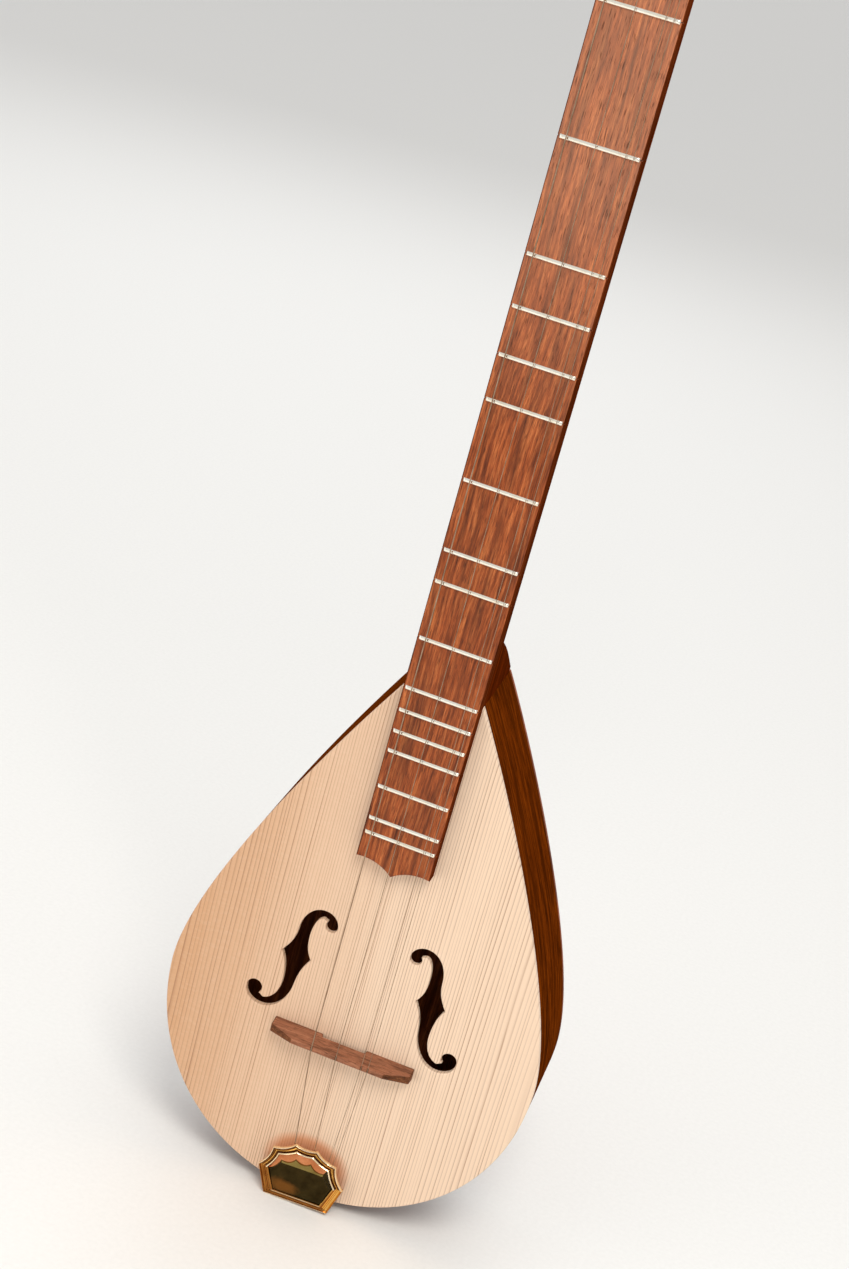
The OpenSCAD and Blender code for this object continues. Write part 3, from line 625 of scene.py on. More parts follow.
def rims():
    inner = shifted(outline, RIM_T)
    for name, hand in (("treble_rim", 1), ("bass_rim", -1)):
        bm = bmesh.new()
        add_loft(bm, [[(hand * p.x, y, p.y) for p, y in
                       ((a, rim_back_y), (a, rim_front_y), (b, rim_front_y), (b, rim_back_y))]
                      for a, b in list(zip(outline, inner))[:len(half_outline)]])
        piece(name + "_bent", bm, RIM_WOOD, name, "instrument")


# ---- Neck and headstock ----------------------------------------------------------------

half_head = 31 * MM
head_l = 131 * MM
head_t = 13 * MM
neck_t = 15 * MM
heel_l = 32 * MM
heel_back = back_hi.y - 0.5 * MM
bend_start, bend_l = -16 * MM, 26 * MM    # where the back of the neck turns into the headstock
NECK_FULLNESS = 3.4
HEEL_FULLNESS = 25                        # added where the heel is deepest
HEAD_FULLNESS = 9                         # added along the headstock
POST_HOLE_R = 4.5 * MM
post_local = [head_matrix.inverted() @ Vector(joints[s + "_post_turn"]["pos_m"]) for s in STRINGS]


def head_half_width():
    """(half width, height) along the edge of the headstock, in its own frame."""
    start = Vector((half_board, 0))
    waist = Vector((half_head - 3 * MM, 22 * MM))
    top = Vector((half_head, 106 * MM))
    corner = mm_point(16, 121)
    return (cubic(start, start + mm_point(0, 8), waist - mm_point(0, 14), waist, 12)
            + cubic(waist, waist + mm_point(0, 28), top - mm_point(0, 26), top, 12)
            + cubic(top, top + mm_point(0, 10), corner + mm_point(8, -4), corner, 14)
            + cubic(corner, corner + mm_point(-6, 3), Vector((5 * MM, head_l)), Vector((0, head_l)), 12))


def section(origin, depth_way, half_w, depth, fullness, n=44):
    """A neck cross-section: flat in front, rounded behind; more fullness makes it boxier."""
    ring = []
    for i in range(n + 1):
        a = pi * i / n
        c, s = cos(a), abs(sin(a))
        k = (abs(c) ** fullness + s ** fullness) ** (1 / fullness)
        ring.append(origin + Vector((half_w * c / k, 0, 0)) + depth_way * (depth * s / k))
    return ring


def smoothstep(t):
    t = min(max(t, 0.0), 1.0)
    return t * t * (3 - 2 * t)


def lean_section(origin, half_w, blend):
    """A cross-section on the way from the neck (blend 0) to the headstock, which leans back (1)."""
    angle = head_angle * blend
    return section(origin, Vector((0, cos(angle), -sin(angle))), half_w,
                   neck_t + (head_t - neck_t) * blend, NECK_FULLNESS + HEAD_FULLNESS * blend ** 2)


def neck():
    """Carved as one flowing shape, then parted where the heel and the headstock are glued on."""
    foot = Vector((heel_back, joint_z + 2 * MM))
    top_of_heel = Vector((front_y + neck_t, joint_z + heel_l))
    heel_curve = cubic(foot, Vector((-14 * MM, joint_z + 11 * MM)), Vector((-27 * MM, joint_z + 20 * MM)),
                       top_of_heel, 20)
    straight = [top_of_heel.y + (head_z + bend_start - top_of_heel.y) * i / 24 for i in range(25)]
    stations = [(joint_z, heel_back - front_y)] + [(p.y, p.x - front_y) for p in heel_curve]
    rings = []
    for z, depth in stations + [(z, neck_t) for z in straight]:
        fullness = NECK_FULLNESS + HEEL_FULLNESS * smoothstep((depth - neck_t) / (30 * MM))
        rings.append(section(Vector((0, front_y, z)), Vector((0, 1, 0)), half_board, depth, fullness))
    for z in (bend_start * (1 - i / 8) for i in range(1, 8)):
        blend = smoothstep((z - bend_start) / bend_l)
        rings.append(lean_section(Vector((0, front_y, head_z + z)), half_board, blend))
    lean = (head_matrix.to_3x3() @ Vector((0, 0, 1))).normalized()
    for p in head_half_width():
        blend = smoothstep((p.y - bend_start) / bend_l)
        rings.append(lean_section(Vector((0, front_y, head_z)) + lean * p.y, p.x, blend))
    bm = bmesh.new()
    add_loft(bm, rings)
    holes = bmesh.new()
    for p in post_local:
        turn = head_matrix @ Matrix.Translation((p.x, -2 * MM, p.z)) @ BACKWARDS
        add_lathe(holes, [(0, 0), (POST_HOLE_R, 0), (POST_HOLE_R, 20 * MM), (0, 20 * MM)], turn)
    whole = cut(bm, holes)
    heel_space = ((-0.1, front_y + neck_t, joint_z - 0.1), (0.1, 0.1, joint_z + 2 * heel_l))
    head_space = ((-0.1, -0.1, 0), (0.1, 0.1, 0.2), head_matrix)
    for name, node, how, spaces in (("heel_block", "heel", "INTERSECT", [heel_space]),
                                    ("carved_headstock", "headstock", "INTERSECT", [head_space]),
                                    ("carved_neck", "neck", "DIFFERENCE", [heel_space, head_space])):
        bm = whole.copy()
        for corners_and_place in spaces:
            space = bmesh.new()
            add_box(space, *corners_and_place)
            bm = combine(bm, space, how)
        piece(name, bm, NECK_WOOD_SHADED, node, "instrument", sharp=40)
    whole.free()


def veneer():
    edge = [p for p in head_half_width() if p.y > 1.4 * MM]
    edge = [Vector((edge[0].x, 0.6 * MM))] + edge
    shape = edge + [Vector((0, head_l))] + mirrored(edge)
    holes = [circle(p.x, p.z, POST_HOLE_R, 40) for p in post_local]
    bm = bmesh.new()
    add_slab(bm, shape, rounded(0, -1.5 * MM, 0, 0.6 * MM), holes, rounded(0, -1.5 * MM, 0, 0.1 * MM, 2))
    piece("head_veneer", bm, VENEER_WOOD, "headstock_veneer", "instrument", head_matrix)


# ---- Fingerboard, frets, nut -----------------------------------------------------------

FRET_STEPS = [2, 4, 5, 7, 9, 10, 11, 12, 14, 16, 17, 19, 21, 22, 23, 24, 26, 28, 29]
fret_heights = [scale_l * 2 ** (-n / 12) for n in FRET_STEPS]
fret_half_l = frets_hi.x
fret_h = board_y - frets_lo.y
fret_w = 2.2 * MM
SLOT_W, SLOT_DEPTH = 0.52 * MM, 1.7 * MM
TANG_W, TANG_DEPTH = 0.5 * MM, 1.5 * MM
BOARD_EDGE_R = 0.8 * MM
SCALLOP_DEPTH = 2.2 * MM


def fingerboard():
    corner = Vector((half_board, board_corner_z))
    cusp = Vector((0, board_lo.z))
    scallops = (bowed(Vector((-corner.x, corner.y)), cusp, SCALLOP_DEPTH, 20)
                + bowed(cusp, corner, SCALLOP_DEPTH, 20))
    shape = scallops + [corner, Vector((half_board, scale_l)), Vector((-half_board, scale_l))]
    bm = bmesh.new()
    add_slab(bm, shape, rounded(front_y, board_y, 0, BOARD_EDGE_R))
    slots = bmesh.new()
    for z in fret_heights:
        add_box(slots, (-half_board - MM, board_y - MM, z - SLOT_W / 2),
                (half_board + MM, board_y + SLOT_DEPTH, z + SLOT_W / 2))
    bm = cut(bm, slots)
    for face in bm.faces:
        face.material_index = int(abs(face.normal.x) > 0.5)      # the sides are duller than the playing face, and darker as painted shade
    piece("fingerboard_plate", bm, [BOARD_WOOD, BOARD_SIDE_SHADED], "fingerboard", "instrument")


def frets():
    """Nickel wire with a domed crown, its ends filed to a slope and its tang in the slot."""
    bm = bmesh.new()
    arch = angles(0, 180, 12)
    ends = [(0, 0.05), (0.25 * MM, 0.45), (0.6 * MM, 0.85), (0.95 * MM, 1)]
    stations = ends + [(2 * fret_half_l - along, k) for along, k in reversed(ends)]
    tang = [(0, -TANG_W / 2), (TANG_DEPTH, -0.22 * MM), (TANG_DEPTH, 0.22 * MM), (0, TANG_W / 2)]
    for z in fret_heights:
        rings = []
        for along, k in stations:
            x = along - fret_half_l
            width = fret_w / 2 * (0.82 + 0.18 * k)
            rings.append([(x, board_y - fret_h * k * sin(a), z + width * cos(a)) for a in arch]
                         + [(x, board_y + depth, z + half_w) for depth, half_w in tang])
        add_loft(bm, rings)
    piece("fret_wires", bm, FRET_METAL, "frets", "instrument", sharp=50)


string_r = [r * MM for r in (0.34, 0.24, 0.20, 0.20)]
wire_r = [r * MM for r in (0.30, 0.18, 0.14, 0.14)]      # as drawn, a little under the CAD's
bridge_x = [x * MM for x in (-13.6, -0.4, 13.2, 16.7)]
nut_x = [x * MM for x in (-15, -1.8, 11.5, 15)]
pin_x = [x * MM for x in (-8.8, 1.4, 9.2, 11.4)]
pin_z = [z * MM for z in (-66, -66, -63.5, -69.5)]
pin_r = 1.0 * MM
loop_gap = 0.1 * MM                       # between a pin and the loop round it
loop_y = front_y - 3 * MM
bridge_z = (bridge_lo.z + bridge_hi.z) / 2
wrap_y = -8 * MM
post_r = 3 * MM
side = [-1, -1, 1, 1]                     # which side of the headstock each string's button is on


def wrap_r(k):
    return post_r + 0.03 * MM + string_r[k]


def string_route(k):
    """Corner points of string k, from its loop to its post."""
    out = wrap_r(k) + 2 * string_r[k] + 0.12 * MM
    post = head_matrix @ Vector((post_local[k].x - side[k] * out, wrap_y, post_local[k].z))
    return [Vector((pin_x[k], loop_y, pin_z[k] + pin_r + loop_gap + string_r[k])),
            Vector((bridge_x[k], bridge_lo.y, bridge_z)),
            Vector((nut_x[k], nut_lo.y, scale_l)), post]


def nut():
    bm = bmesh.new()
    profile = [(scale_l, front_y), (head_z, front_y), (head_z, nut_lo.y + 1.0 * MM), (scale_l, nut_lo.y)]
    add_loft(bm, [[(x, y, z) for z, y in profile] for x in (-half_board, half_board)])
    ease_edges(bm, 0.45 * MM, 50, 3)
    grooves = bmesh.new()
    for k in range(4):
        add_tube(grooves, string_route(k)[1:], string_r[k] + 0.05 * MM, 16)
    piece("bone_nut", cut(bm, grooves), BONE, "nut", "instrument", sharp=30)


# ---- Bridge ----------------------------------------------------------------------------


def bridge():
    """A tapered bar with sloped wings, standing on two feet, with a groove for each string."""
    half_l, half_t, half_top = bridge_hi.x, (bridge_hi.z - bridge_lo.z) / 2, 1.3 * MM
    height = front_y - bridge_lo.y
    flat, wing_h = 24.5 * MM, 6.5 * MM
    relief, relief_h = 11 * MM, 2.4 * MM
    view = [(-half_l, 0), (-relief - MM, 0), (-relief, relief_h), (relief, relief_h), (relief + MM, 0),
            (half_l, 0), (half_l, wing_h), (flat, height), (-flat, height), (-half_l, wing_h)]
    taper = [(-half_t, 0), (half_t, 0), (half_top, height), (-half_top, height)]
    bar, wedge = bmesh.new(), bmesh.new()
    add_loft(bar, [[(x, front_y - h, bridge_z + z) for x, h in view] for z in (-2 * half_t, 2 * half_t)])
    add_loft(wedge, [[(x, front_y - h, bridge_z + z) for z, h in taper] for x in (-2 * half_l, 2 * half_l)])
    bm = combine(bar, wedge, "INTERSECT")
    ease_edges(bm, 0.45 * MM, 12, 3)
    grooves = bmesh.new()
    for k in range(4):
        add_tube(grooves, string_route(k)[:3], string_r[k] + 0.25 * MM, 16)
    bm = cut(bm, grooves)
    for face in bm.faces:
        face.material_index = int(abs(face.normal.x) > 0.2)      # the sloped wings show darker end grain, deepened by painted shade
    piece("floating_bridge_wood", bm, [BRIDGE_WOOD, BRIDGE_END_GRAIN_AND_SHADE], "bridge", "floating_bridge",
          sharp=30)


# ---- Strings ---------------------------------------------------------------------------


TWIST_L = 6 * MM                          # where the loop's end is wound back on the string
WRAPS = 5


def eased(points, radius, n=5):
    """The same route with its inner corners rounded."""
    route = [points[0]]
    for a, b, c in zip(points, points[1:], points[2:]):
        p = b + (a - b).normalized() * radius
        q = b + (c - b).normalized() * radius
        for i in range(n + 1):
            t = i / n
            route.append((1 - t) ** 2 * p + 2 * (1 - t) * t * b + t * t * q)
    return route + [points[-1]]


def strings():
    for k, name in enumerate(STRINGS):
        r = wire_r[k]
        loop = pin_r + loop_gap + r
        centre = Vector((pin_x[k], loop_y, pin_z[k]))
        turn = [centre + loop * Vector((cos(a), 0, sin(a))) for a in angles(130, 430, 30)]
        route = eased(string_route(k), 1.6 * MM)
        bm = bmesh.new()
        add_tube(bm, turn + route, r, 12)
        way = (route[1] - route[0]).normalized()
        aside = way.orthogonal().normalized()
        up = way.cross(aside)
        start = route[0] + way * 0.6 * MM
        twist = [start + way * (TWIST_L * i / 72)
                 + 2.0 * r * (cos(i * 0.6) * aside + sin(i * 0.6) * up) for i in range(73)]
        add_tube(bm, twist, r * 0.95, 8)
        piece(name + "_wire", bm, STRING_METAL, name + "_string", "instrument", sharp=60,
              weighted=False)


def windings():
    for k, name in enumerate(STRINGS):
        r, around = wire_r[k], wrap_r(k)
        pitch = 2.06 * r
        start = 180 if side[k] > 0 else 0
        points = []
        for i in range(WRAPS * 36 + 1):
            a = radians(start + side[k] * 10 * i)
            points.append(head_matrix @ Vector((post_local[k].x + around * cos(a),
                                                wrap_y + pitch * (i / 36 - WRAPS / 2 + 0.5),
                                                post_local[k].z + around * sin(a))))
        bm = bmesh.new()
        add_tube(bm, points, r, 10)
        piece(name + "_coil", bm, STRING_METAL, name + "_winding", name + "_tuner_spindle",
              sharp=60, weighted=False)


# ---- Tailpiece -------------------------------------------------------------------------

slide = Vector(joints["cover_slide"]["axis"])
cover_matrix = (Matrix.Translation((cover_x, 0, COVER_CENTRE_Z))
                @ Matrix.Rotation(-atan2(slide.x, -slide.z), 4, "Y")
                @ Matrix.Translation((0, 0, -COVER_CENTRE_Z)))
# Right-hand corners of the cover's lines, from the tail round to the front, in mm
RIM = [(17.5, -84.0), (23.0, -68.0), (17.2, -55.7), (6.0, -50.1)]
INNER_BEAD = [(13.45, -80.8), (18.3, -68.3), (13.4, -58.5), (4.3, -54.4)]
PETALS = [(12.9, -80.2), (17.0, -68.5), (11.4, -62.0), (4.1, -58.9)]
PLATE = [(12.6, -79.9), (16.3, -69.4), (11.2, -63.6), (4.1, -63.5)]
LINE_STEPS = 12


def cover_line(right, sags, height, change=None):
    """One closed line of the cover. sags bow the eight sides inwards; change moves a point by its height."""
    corners = [Vector(q) * MM for q in right] + [mm_point(-x, z) for x, z in reversed(right)]
    line = []
    for i, a in enumerate(corners):
        line += bowed(a, corners[(i + 1) % 8], sags[i] * MM, LINE_STEPS)
    return [(p.x, cover_rim_y + (change(p) if change else height) * MM, p.y) for p in line]


def between(a, b, share):
    return [(p[0] + (q[0] - p[0]) * share, p[1] + (q[1] - p[1]) * share) for p, q in zip(a, b)]


# What each of the eight sides takes of a bow, from the rim and the beads to the petals' lobes
FRONT_SIDES = [0, 1, 1, 1, 1, 1, 0, 0]
LOBES = [0, 0.9, 1.7, 1.9, 1.7, 0.9, 0, 0]
# (share of the way from the rim to the inner bead, depth below the highest line), in mm
SHELL = [(0.0, 0.95), (0.02, 0.62), (0.06, 0.45), (0.12, 0.5), (0.16, 0.8), (0.22, 1.2), (0.34, 1.4),
         (0.44, 1.3), (0.5, 1.0), (0.55, 0.92), (0.6, 1.02), (0.66, 1.4), (0.76, 1.4), (0.84, 0.7),
         (0.9, 0.2), (0.97, 0.0), (1.03, 0.12), (1.12, 0.6)]
# Plain brass, then copies with painted light: a dark reflection, shade, reflections and a highlight
COVER_BRASS_AND_PAINTED_LIGHT = [BRASS, BRASS_PLATE_DARK_REFLECTION, BRASS_GROOVE_SHADE, BRASS_PETAL_REFLECTION, BRASS_RAMP_REFLECTION, BRASS_BEAD_HIGHLIGHT, BRASS_BAND_REFLECTION]
PLAIN, DARK_REFLECTION, GROOVE_SHADE, PETAL_REFLECTION, RAMP_REFLECTION, BEAD_HIGHLIGHT, BAND_REFLECTION = range(7)


def wall_foot(p):
    """How far down the wall ends: at the soundboard near the tail, and high over the mouth in front."""
    return 6.9 if p.y < -69.5 * MM else 2.0


def shell_kind(share):
    if share < 0.13 or 0.89 < share < 1.04:
        return "bead"
    return "ridge" if 0.49 < share < 0.61 else "groove"


def cover_brass_and_painted_light(kind, part, on_rim):
    """Which of COVER_BRASS_AND_PAINTED_LIGHT a face gets; part is the side that it lies on, 0 at the tail's right."""
    # Each slot but PLAIN is painted light: highlights, reflections and shade, chosen by zone.
    if kind == "bead":
        return BEAD_HIGHLIGHT if 1 <= part <= 5 or (part == 7 and not on_rim) else BAND_REFLECTION
    if kind in ("ridge", "groove"):
        front = GROOVE_SHADE if kind == "groove" else PLAIN
        return front if 1 <= part <= 5 else PLAIN if part == 0 else BAND_REFLECTION
    first, last, painted_slot = {"petal": (2, 5, PETAL_REFLECTION), "edge": (2, 5, GROOVE_SHADE), "ramp": (2, 4, RAMP_REFLECTION),
                           "plate": (0, 7, DARK_REFLECTION)}[kind]
    return painted_slot if first <= part <= last else DARK_REFLECTION


def tailpiece_cover():
    """Stamped brass: a scalloped outer bead, a groove, an inner bead, and petals round a sunken plate."""
    bm = bmesh.new()
    rings, kinds = [], []

    def add(kind, right, sags, height, change=None):
        rings.append([bm.verts.new(v) for v in cover_line(right, sags, height, change)])
        kinds.append(kind)

    def bows(depth):
        return [depth * k for k in FRONT_SIDES]

    middle = between(PLATE, [(0, -71)] * 4, 0.02)
    add("wall", RIM, bows(1.3), 0, wall_foot)
    for share, drop in SHELL:
        add(shell_kind(share), between(RIM, INNER_BEAD, share), bows(1.3 - 0.8 * share), drop)
    inner = between(RIM, INNER_BEAD, SHELL[-1][0])
    for share, drop, kind in ((0.3, 0.95, "petal"), (0.6, 1.15, "petal"), (0.86, 1.0, "petal"),
                              (1.0, 0.8, "edge")):
        sags = [0.35 * f + (k - 0.35 * f) * share for k, f in zip(LOBES, FRONT_SIDES)]
        add(kind, between(inner, PETALS, share), sags, drop)
    add("ramp", between(PETALS, PLATE, 0.12), [0.85 * k for k in LOBES], 1.1)
    add("ramp", PLATE, [0] * 8, 1.2)
    add("plate", middle, [0] * 8, 1.38)
    for kind, outer_ring, inner_ring in zip(kinds[1:], rings, rings[1:]):
        for i in range(len(outer_ring)):
            j = (i + 1) % len(outer_ring)
            face = bm.faces.new((outer_ring[i], outer_ring[j], inner_ring[j], inner_ring[i]))
            # Each face gets plain brass, or a copy with painted highlight, reflection and shade
            face.material_index = cover_brass_and_painted_light(kind, i // LINE_STEPS, inner_ring is rings[1])
    bm.faces.new(rings[-1]).material_index = DARK_REFLECTION
    top = len(rings)
    add("under", middle, [0] * 8, 1.95)
    add("under", between(RIM, INNER_BEAD, 0.6), bows(0.9), 1.95)
    add("under", between(RIM, INNER_BEAD, 0.2), bows(1.2), 1.7)
    add("under", between(RIM, INNER_BEAD, 0.17), bows(1.25), 0, wall_foot)
    walls(bm, rings[top:])
    bm.faces.new(rings[top])
    walls(bm, [rings[-1], rings[0]])
    piece("stamped_cover", bm, COVER_BRASS_AND_PAINTED_LIGHT, "tailpiece_cover", "cover", cover_matrix, sharp=30,
          weighted=False)


def add_screw(bm, slots, matrix, shank_r, shank_l, head_r, head_h):
    """A pan-head screw along +Z with its head below z = 0. The slot goes into slots, to be cut out."""
    add_lathe(bm, [(0, -head_h), (head_r * 0.45, -head_h * 0.97), (head_r * 0.75, -head_h * 0.82),
                   (head_r * 0.93, -head_h * 0.55), (head_r, -head_h * 0.25), (head_r, 0), (shank_r, 0),
                   (shank_r, shank_l - 2 * shank_r), (0, shank_l)], matrix, 36)
    add_box(slots, (-2 * head_r, -0.3 * MM, -2 * head_h), (2 * head_r, 0.3 * MM, -head_h * 0.5), matrix)


PIN = mm([(0, -0.5), (1, -0.5), (1, 3), (1.4, 3.25), (1.4, 3.5), (1.1, 3.75), (0, 3.8)])
base_t = 1.0 * MM
FLANGE_SCREWS = [cover_x - 9 * MM, cover_x + 9 * MM]
flange_screw_y = front_y + 15 * MM


def tailpiece_base():
    """Folded sheet: a plate under the cover with four pins, and a flange screwed to the tail."""
    t, half = base_t, (base_hi.x - base_lo.x) / 2
    plate = [(-half, tail_z), (half, tail_z), (half, -62 * MM), (half - 4 * MM, -58 * MM),
             (4 * MM - half, -58 * MM), (-half, -62 * MM)]
    bm = bmesh.new()
    add_slab(bm, [Vector((cover_x + x, z)) for x, z in plate], rounded(front_y, front_y - t, 0, 0.25 * MM, 3))
    bend = [(front_y - t + t * (1 - sin(a)), tail_z - t * cos(a)) for a in angles(90, 0, 6)]
    profile = bend + [(base_hi.y - 0.3 * MM, tail_z - t), (base_hi.y, tail_z - t + 0.3 * MM),
                      (base_hi.y, tail_z), (front_y, tail_z), (front_y - t, tail_z)]
    add_loft(bm, [[(x, y, z) for y, z in profile] for x in (cover_x - half, cover_x + half)])
    for x, z in zip(pin_x, pin_z):
        at = Matrix.Translation((x, front_y - t, z)) @ FORWARDS
        add_lathe(bm, PIN, at, 24)
    holes = bmesh.new()
    for x in FLANGE_SCREWS:
        add_lathe(holes, mm([(0, 0), (1.3, 0), (1.3, 4), (0, 4)]),
                  Matrix.Translation((x, flange_screw_y, tail_z - 3 * MM)))
    piece("tailpiece_plate_and_pins", cut(bm, holes), BRASS, "tailpiece_base", "instrument")


def tailpiece_screws():
    bm, slots = bmesh.new(), bmesh.new()
    for x in FLANGE_SCREWS:
        slot_turn = Matrix.Rotation(0.5 + 9 * x / MM, 4, "Z")
        at = Matrix.Translation((x, flange_screw_y, tail_z - base_t)) @ slot_turn
        add_screw(bm, slots, at, 1.2 * MM, 12 * MM, 2.5 * MM, 1.4 * MM)
    piece("tailpiece_slotted_screws", cut(bm, slots), BRASS, "tailpiece_screws", "instrument")


# ---- Machine heads ---------------------------------------------------------------------

PLATE_T = 1.2 * MM
WORM_PITCH = 1.9 * MM
WORM_TURNS = 4
WORM_TIP_R, WORM_ROOT_R = 3.1 * MM, 1.75 * MM
SHAFT_R = 1.4 * MM
BUTTON_R, BUTTON_HALF_T, BUTTON_FACE_H = 8.5 * MM, 3 * MM, 2.6 * MM
GEAR_TEETH = 14
PLATE_SCREW_Z = [-6.5 * MM, 13.5 * MM]
GEAR_HALF_T = 1.2 * MM
TOOTH = [(-6.4, 3.35), (-4.4, 3.9), (-2.4, 4.68), (2.4, 4.68), (4.4, 3.9), (6.4, 3.35)]  # degrees, mm
BUSHING = mm([(3.06, -2.5), (5.2, -2.5), (5.7, -2.3), (6, -1.9), (6, -1.5), (4.5, -1.5), (4.5, 5.5),
              (3.06, 5.5)])
POST_TIP_Y = -13.5 * MM
POST_TIP = mm([(0, -13.5), (2.3, -13.5), (2.75, -13.35), (3, -12.95)])
WAIST_FROM, WAIST_L, WAIST_DEPTH = -11.9 * MM, 6.6 * MM, 0.22 * MM
LUG_HALF_W, LUG_ROUND = 3.3 * MM, 2.4 * MM
COLLAR = mm([(1.45, 0), (2.3, 0), (2.8, 0.5), (2.6, 1.6), (3.1, 4.6), (1.45, 4.6)])
worm_local = [head_matrix.inverted() @ Vector(joints[s + "_button_turn"]["pos_m"]) for s in STRINGS]
gear_y = worm_local[0].y
centre_gap = worm_local[0].z - post_local[0].z
gear_back = gear_y + GEAR_HALF_T
button_x = half_head + 13.5 * MM


def at_post(k, y=0.0, z=0.0):
    return head_matrix @ Matrix.Translation((post_local[k].x, y, post_local[k].z + z))


def along_worm(k):
    """+Z runs out to the button along the worm's axis."""
    return at_post(k, gear_y, centre_gap) @ Matrix.Rotation(side[k] * pi / 2, 4, "Y")


def post_bushings():
    bm = bmesh.new()
    for k in range(4):
        add_lathe(bm, BUSHING, at_post(k) @ BACKWARDS, 56)
    piece("turned_bushings", bm, NICKEL, "post_bushings", "instrument")


def tuner_screws():
    bm, slots = bmesh.new(), bmesh.new()
    for k in range(4):
        for i, z in enumerate(PLATE_SCREW_Z):
            slot_turn = Matrix.Rotation(0.4 + 0.8 * k + 1.7 * i, 4, "Z")
            at = at_post(k, head_t + PLATE_T, z) @ FORWARDS @ slot_turn
            add_screw(bm, slots, at, 1 * MM, 9 * MM, 2 * MM, 1 * MM)
    piece("plate_screws", cut(bm, slots), BRASS, "tuner_screws", "instrument")


def round_rect(x0, z0, x1, z1, r, n=5):
    """A rectangle with rounded corners, given in mm."""
    corners = [(x1 - r, z1 - r, 0), (x0 + r, z1 - r, 90), (x0 + r, z0 + r, 180), (x1 - r, z0 + r, 270)]
    return [Vector((x + r * cos(a), z + r * sin(a))) * MM for x, z, start in corners
            for a in angles(start, start + 90, n)]


SQUARE = round_rect(-1.8, -1.8, 1.8, 1.8, 0.2, 3)        # of the gear's hole and the post's end


def tuner_plates():
    """Stamped plates with two lugs each that carry the worm's shaft."""
    plate_back = head_t + PLATE_T
    round_y = plate_back + 6 * MM - LUG_ROUND
    arc = [Vector((centre_gap + LUG_HALF_W * cos(a), round_y + LUG_ROUND * sin(a)))
           for a in angles(0, 180, 15)]
    feet = [Vector((centre_gap + x, plate_back - 0.1 * MM)) for x in (LUG_HALF_W, -LUG_HALF_W)]
    lug = feet[:1] + arc + feet[1:]
    holes = [circle(0, 0, 3.06 * MM, 40)] + [circle(0, z, 1.06 * MM, 24) for z in PLATE_SCREW_Z]
    for k, name in enumerate(STRINGS):
        bm = bmesh.new()
        add_slab(bm, round_rect(-7.5, -9, 7.5, 16, 2.2), rounded(head_t, plate_back, 0, 0.35 * MM, 3),
                 holes, rounded(head_t, plate_back, 0, 0.12 * MM, 2))
        for x in (4.1, -5.6):
            add_slab(bm, lug, mm([(0.25, x), (0, x + 0.25), (0, x + 1.25), (0.25, x + 1.5)]),
                     [circle(centre_gap, gear_y, 1.46 * MM, 28)],
                     mm([(0, x), (0, x + 0.5), (0, x + 1), (0, x + 1.5)]),
                     to_3d=lambda p, level: (level, p.y, p.x))
        piece(name + "_stamped_plate", bm, BRASS, name + "_tuner_plate", "instrument", at_post(k))


def gears():
    teeth = [(pi / 2 + 2 * pi * i / GEAR_TEETH + radians(turn), r * MM)
             for i in range(GEAR_TEETH) for turn, r in TOOTH]
    shape = [Vector((r * cos(a), r * sin(a))) for a, r in teeth]
    gear_front = gear_y - GEAR_HALF_T
    for k, name in enumerate(STRINGS):
        spindle = name + "_tuner_spindle"
        bm = bmesh.new()
        add_slab(bm, shape, rounded(gear_front, gear_back, 0.12 * MM, 0.12 * MM, 2), [SQUARE],
                 [(0, gear_front), (0, gear_back)])
        piece(name + "_cut_gear", bm, BRASS, name + "_gear", spindle, at_post(k))
        bm, slots = bmesh.new(), bmesh.new()
        at = at_post(k, gear_back) @ FORWARDS @ Matrix.Rotation(0.7 * k, 4, "Z")
        add_screw(bm, slots, at, 1.1 * MM, 3.5 * MM, 2.7 * MM, 1.1 * MM)
        piece(name + "_gear_fixing", cut(bm, slots), NICKEL, name + "_gear_screw", spindle)


def posts():
    """String posts: rounded at the tip, slightly waisted where the string winds, squared behind the gear."""
    shoulder_y = head_t + PLATE_T + 0.2 * MM
    waist = [(post_r - WAIST_DEPTH * sin(pi * i / 10) ** 2, WAIST_FROM + WAIST_L * i / 10) for i in range(11)]
    for k, name in enumerate(STRINGS):
        bm, hole, square = bmesh.new(), bmesh.new(), bmesh.new()
        add_lathe(bm, POST_TIP + waist + [(post_r, shoulder_y), (0, shoulder_y)], at_post(k) @ BACKWARDS, 48)
        add_lathe(hole, mm([(0, -20), (0.7, -20), (0.7, 20), (0, 20)]), at_post(k, POST_TIP_Y + 2.6 * MM), 20)
        add_slab(square, SQUARE, [(0, head_t), (0, gear_back)])
        square.transform(at_post(k))
        piece(name + "_turned_post", combine(cut(bm, hole), square, "UNION"), NICKEL, name + "_post",
              name + "_tuner_spindle")


def worm_radius(degrees):
    """The thread's profile round the shaft: a crest, a flank on each side of it, and the root."""
    b = abs((degrees + 180) % 360 - 180)
    slope = (WORM_TIP_R - WORM_ROOT_R) * (b - 40) / 60
    return WORM_TIP_R if b <= 40 else WORM_ROOT_R if b >= 100 else WORM_TIP_R - slope


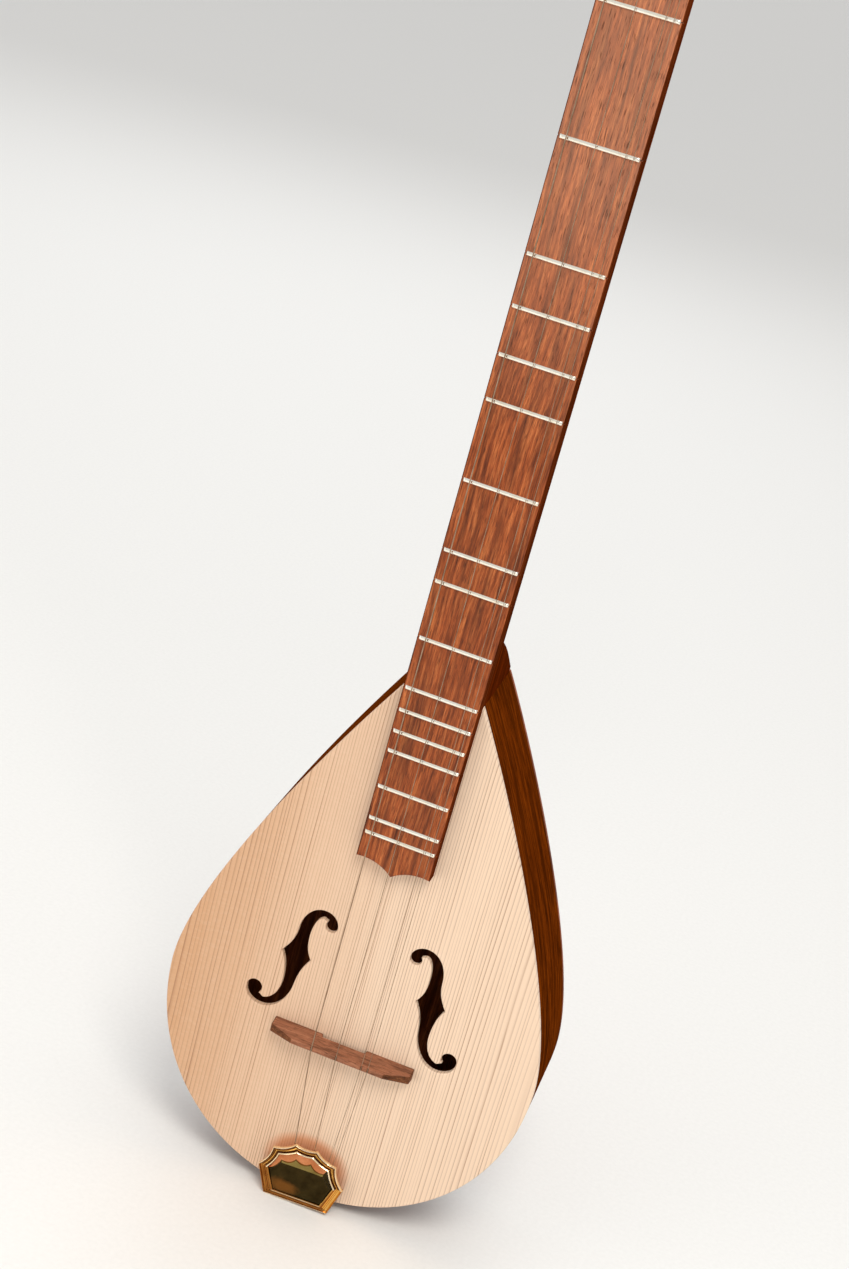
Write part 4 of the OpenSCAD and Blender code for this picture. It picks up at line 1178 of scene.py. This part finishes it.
def worms():
    """A single-start thread on a steel shaft, and the moulded button at the shaft's end."""
    length = WORM_PITCH * WORM_TURNS
    around, along = 40, 96
    for k, name in enumerate(STRINGS):
        drive = name + "_tuner_drive"
        middle = at_post(k, gear_y, centre_gap)
        bm = bmesh.new()
        rings = []
        for j in range(along + 1):
            h = length * j / along
            fade = min(1.0, 0.35 + min(j, along - j) / 5)
            ring = []
            for i in range(around):
                turn = 360 * i / around
                r = worm_radius(turn + 180 - 360 * h / WORM_PITCH)
                r = WORM_ROOT_R + (r - WORM_ROOT_R) * fade
                a = radians(turn)
                ring.append(middle @ Vector((h - length / 2, r * sin(a), -r * cos(a))))
            rings.append(ring)
        add_loft(bm, rings)
        piece(name + "_thread", bm, STEEL, name + "_worm", drive, sharp=50)
        reach = button_x - abs(post_local[k].x)
        inner, outer = -6.2 * MM, reach - 5.5 * MM
        bm = bmesh.new()
        add_lathe(bm, [(0, inner), (1.1 * MM, inner), (SHAFT_R, inner + 0.3 * MM), (SHAFT_R, outer),
                       (0, outer)], along_worm(k), 32)
        piece(name + "_drive_shaft", bm, STEEL, name + "_tuner_shaft", drive)
        bm = bmesh.new()
        rim = [(BUTTON_R * cos(a) ** 0.55, BUTTON_HALF_T * sin(a) ** 0.8) for a in angles(0, 84, 14)]
        face = [(r, h - 0.35 * MM * (1 - r / BUTTON_R) ** 2) for r, h in rim]
        profile = [(0, BUTTON_FACE_H)] + face[::-1] + [(r, -h) for r, h in face[1:]] + [(0, -BUTTON_FACE_H)]
        add_lathe(bm, profile, middle @ Matrix.Translation((side[k] * reach, 0, 0)) @ BACKWARDS, 72)
        collar = bmesh.new()
        foot = reach - 10.5 * MM
        add_lathe(collar, [(r, foot + h) for r, h in COLLAR], along_worm(k), 40)
        piece(name + "_moulded_button", combine(bm, collar, "UNION"), BUTTON_CREAM, name + "_button", drive,
              sharp=50)


def inner_wood():
    """The hidden frame inside the body keeps its own shape and gets softwood made dark as painted shade."""
    for name in ("neck_block", "tail_block", "soundboard_linings", "back_linings", "soundboard_braces",
                 "back_braces"):
        for slot in bpy.data.objects[name].material_slots:
            slot.material = INNER_SPRUCE_SHADED


# ---- Room, light and camera ------------------------------------------------------------


def floor():
    bpy.ops.mesh.primitive_plane_add(size=60, location=(0, 0, cad_box[0].z))
    plane = bpy.context.object
    plane.name = "floor"
    f = Finish("pale_floor")
    f.colour(f.ramp(f.noise(f.place(), 400, 3), (0.3, srgb(236, 235, 232)), (0.7, srgb(240, 239, 236))))
    plane.data.materials.append(f.set(Roughness=0.8))


def light(name, where, target, size, power, colour=(1, 1, 1)):
    lamp = bpy.data.lights.new(name, "AREA")
    lamp.size = size
    lamp.energy = power
    lamp.color = colour
    made = bpy.data.objects.new(name, lamp)
    made.location = where
    made.rotation_euler = (Vector(target) - Vector(where)).to_track_quat("-Z", "Y").to_euler()
    scene.collection.objects.link(made)


def studio():
    middle = (0, front_y, 0.2)
    light("key", (0.45, -1.3, 1.9), middle, 0.9, 26, (1.0, 0.97, 0.92))
    light("fill", (-1.7, -1.6, 0.7), middle, 1.6, 8, (1.0, 0.95, 0.88))
    light("back", (-0.6, 1.9, 1.5), middle, 1.6, 10, (0.96, 0.98, 1.0))
    world = bpy.data.worlds.new("room")
    world.use_nodes = True
    tree = world.node_tree
    way = tree.nodes.new("ShaderNodeTexCoord").outputs["Generated"]
    height = tree.nodes.new("ShaderNodeSeparateXYZ")
    band = tree.nodes.new("ShaderNodeValToRGB")
    tree.links.new(way, height.inputs[0])
    tree.links.new(height.outputs["Z"], band.inputs["Fac"])
    tree.links.new(band.outputs["Color"], tree.nodes["Background"].inputs["Color"])
    band.color_ramp.elements[0].color = (1.0, 0.98, 0.95, 1)
    band.color_ramp.elements[1].color = (0.82, 0.83, 0.85, 1)
    tree.nodes["Background"].inputs["Strength"].default_value = 0.8
    scene.world = world
    scene.view_settings.view_transform = "Standard"


def camera():
    lens = bpy.data.cameras.new("view")
    lens.lens = 63.324
    lens.sensor_width = 36
    made = bpy.data.objects.new("view", lens)
    made.location = (0.15267, -1.00257, 0.62724)
    made.rotation_euler = [radians(a) for a in (67.0962, -14.4971, 16.2126)]
    scene.collection.objects.link(made)
    scene.camera = made


for make in (camera, studio, floor, soundboard, back, rims, neck, veneer, fingerboard, frets, nut, bridge,
             strings, windings, tailpiece_base, tailpiece_screws, tailpiece_cover, post_bushings,
             tuner_plates, tuner_screws, gears, posts, worms, inner_wood):
    make()
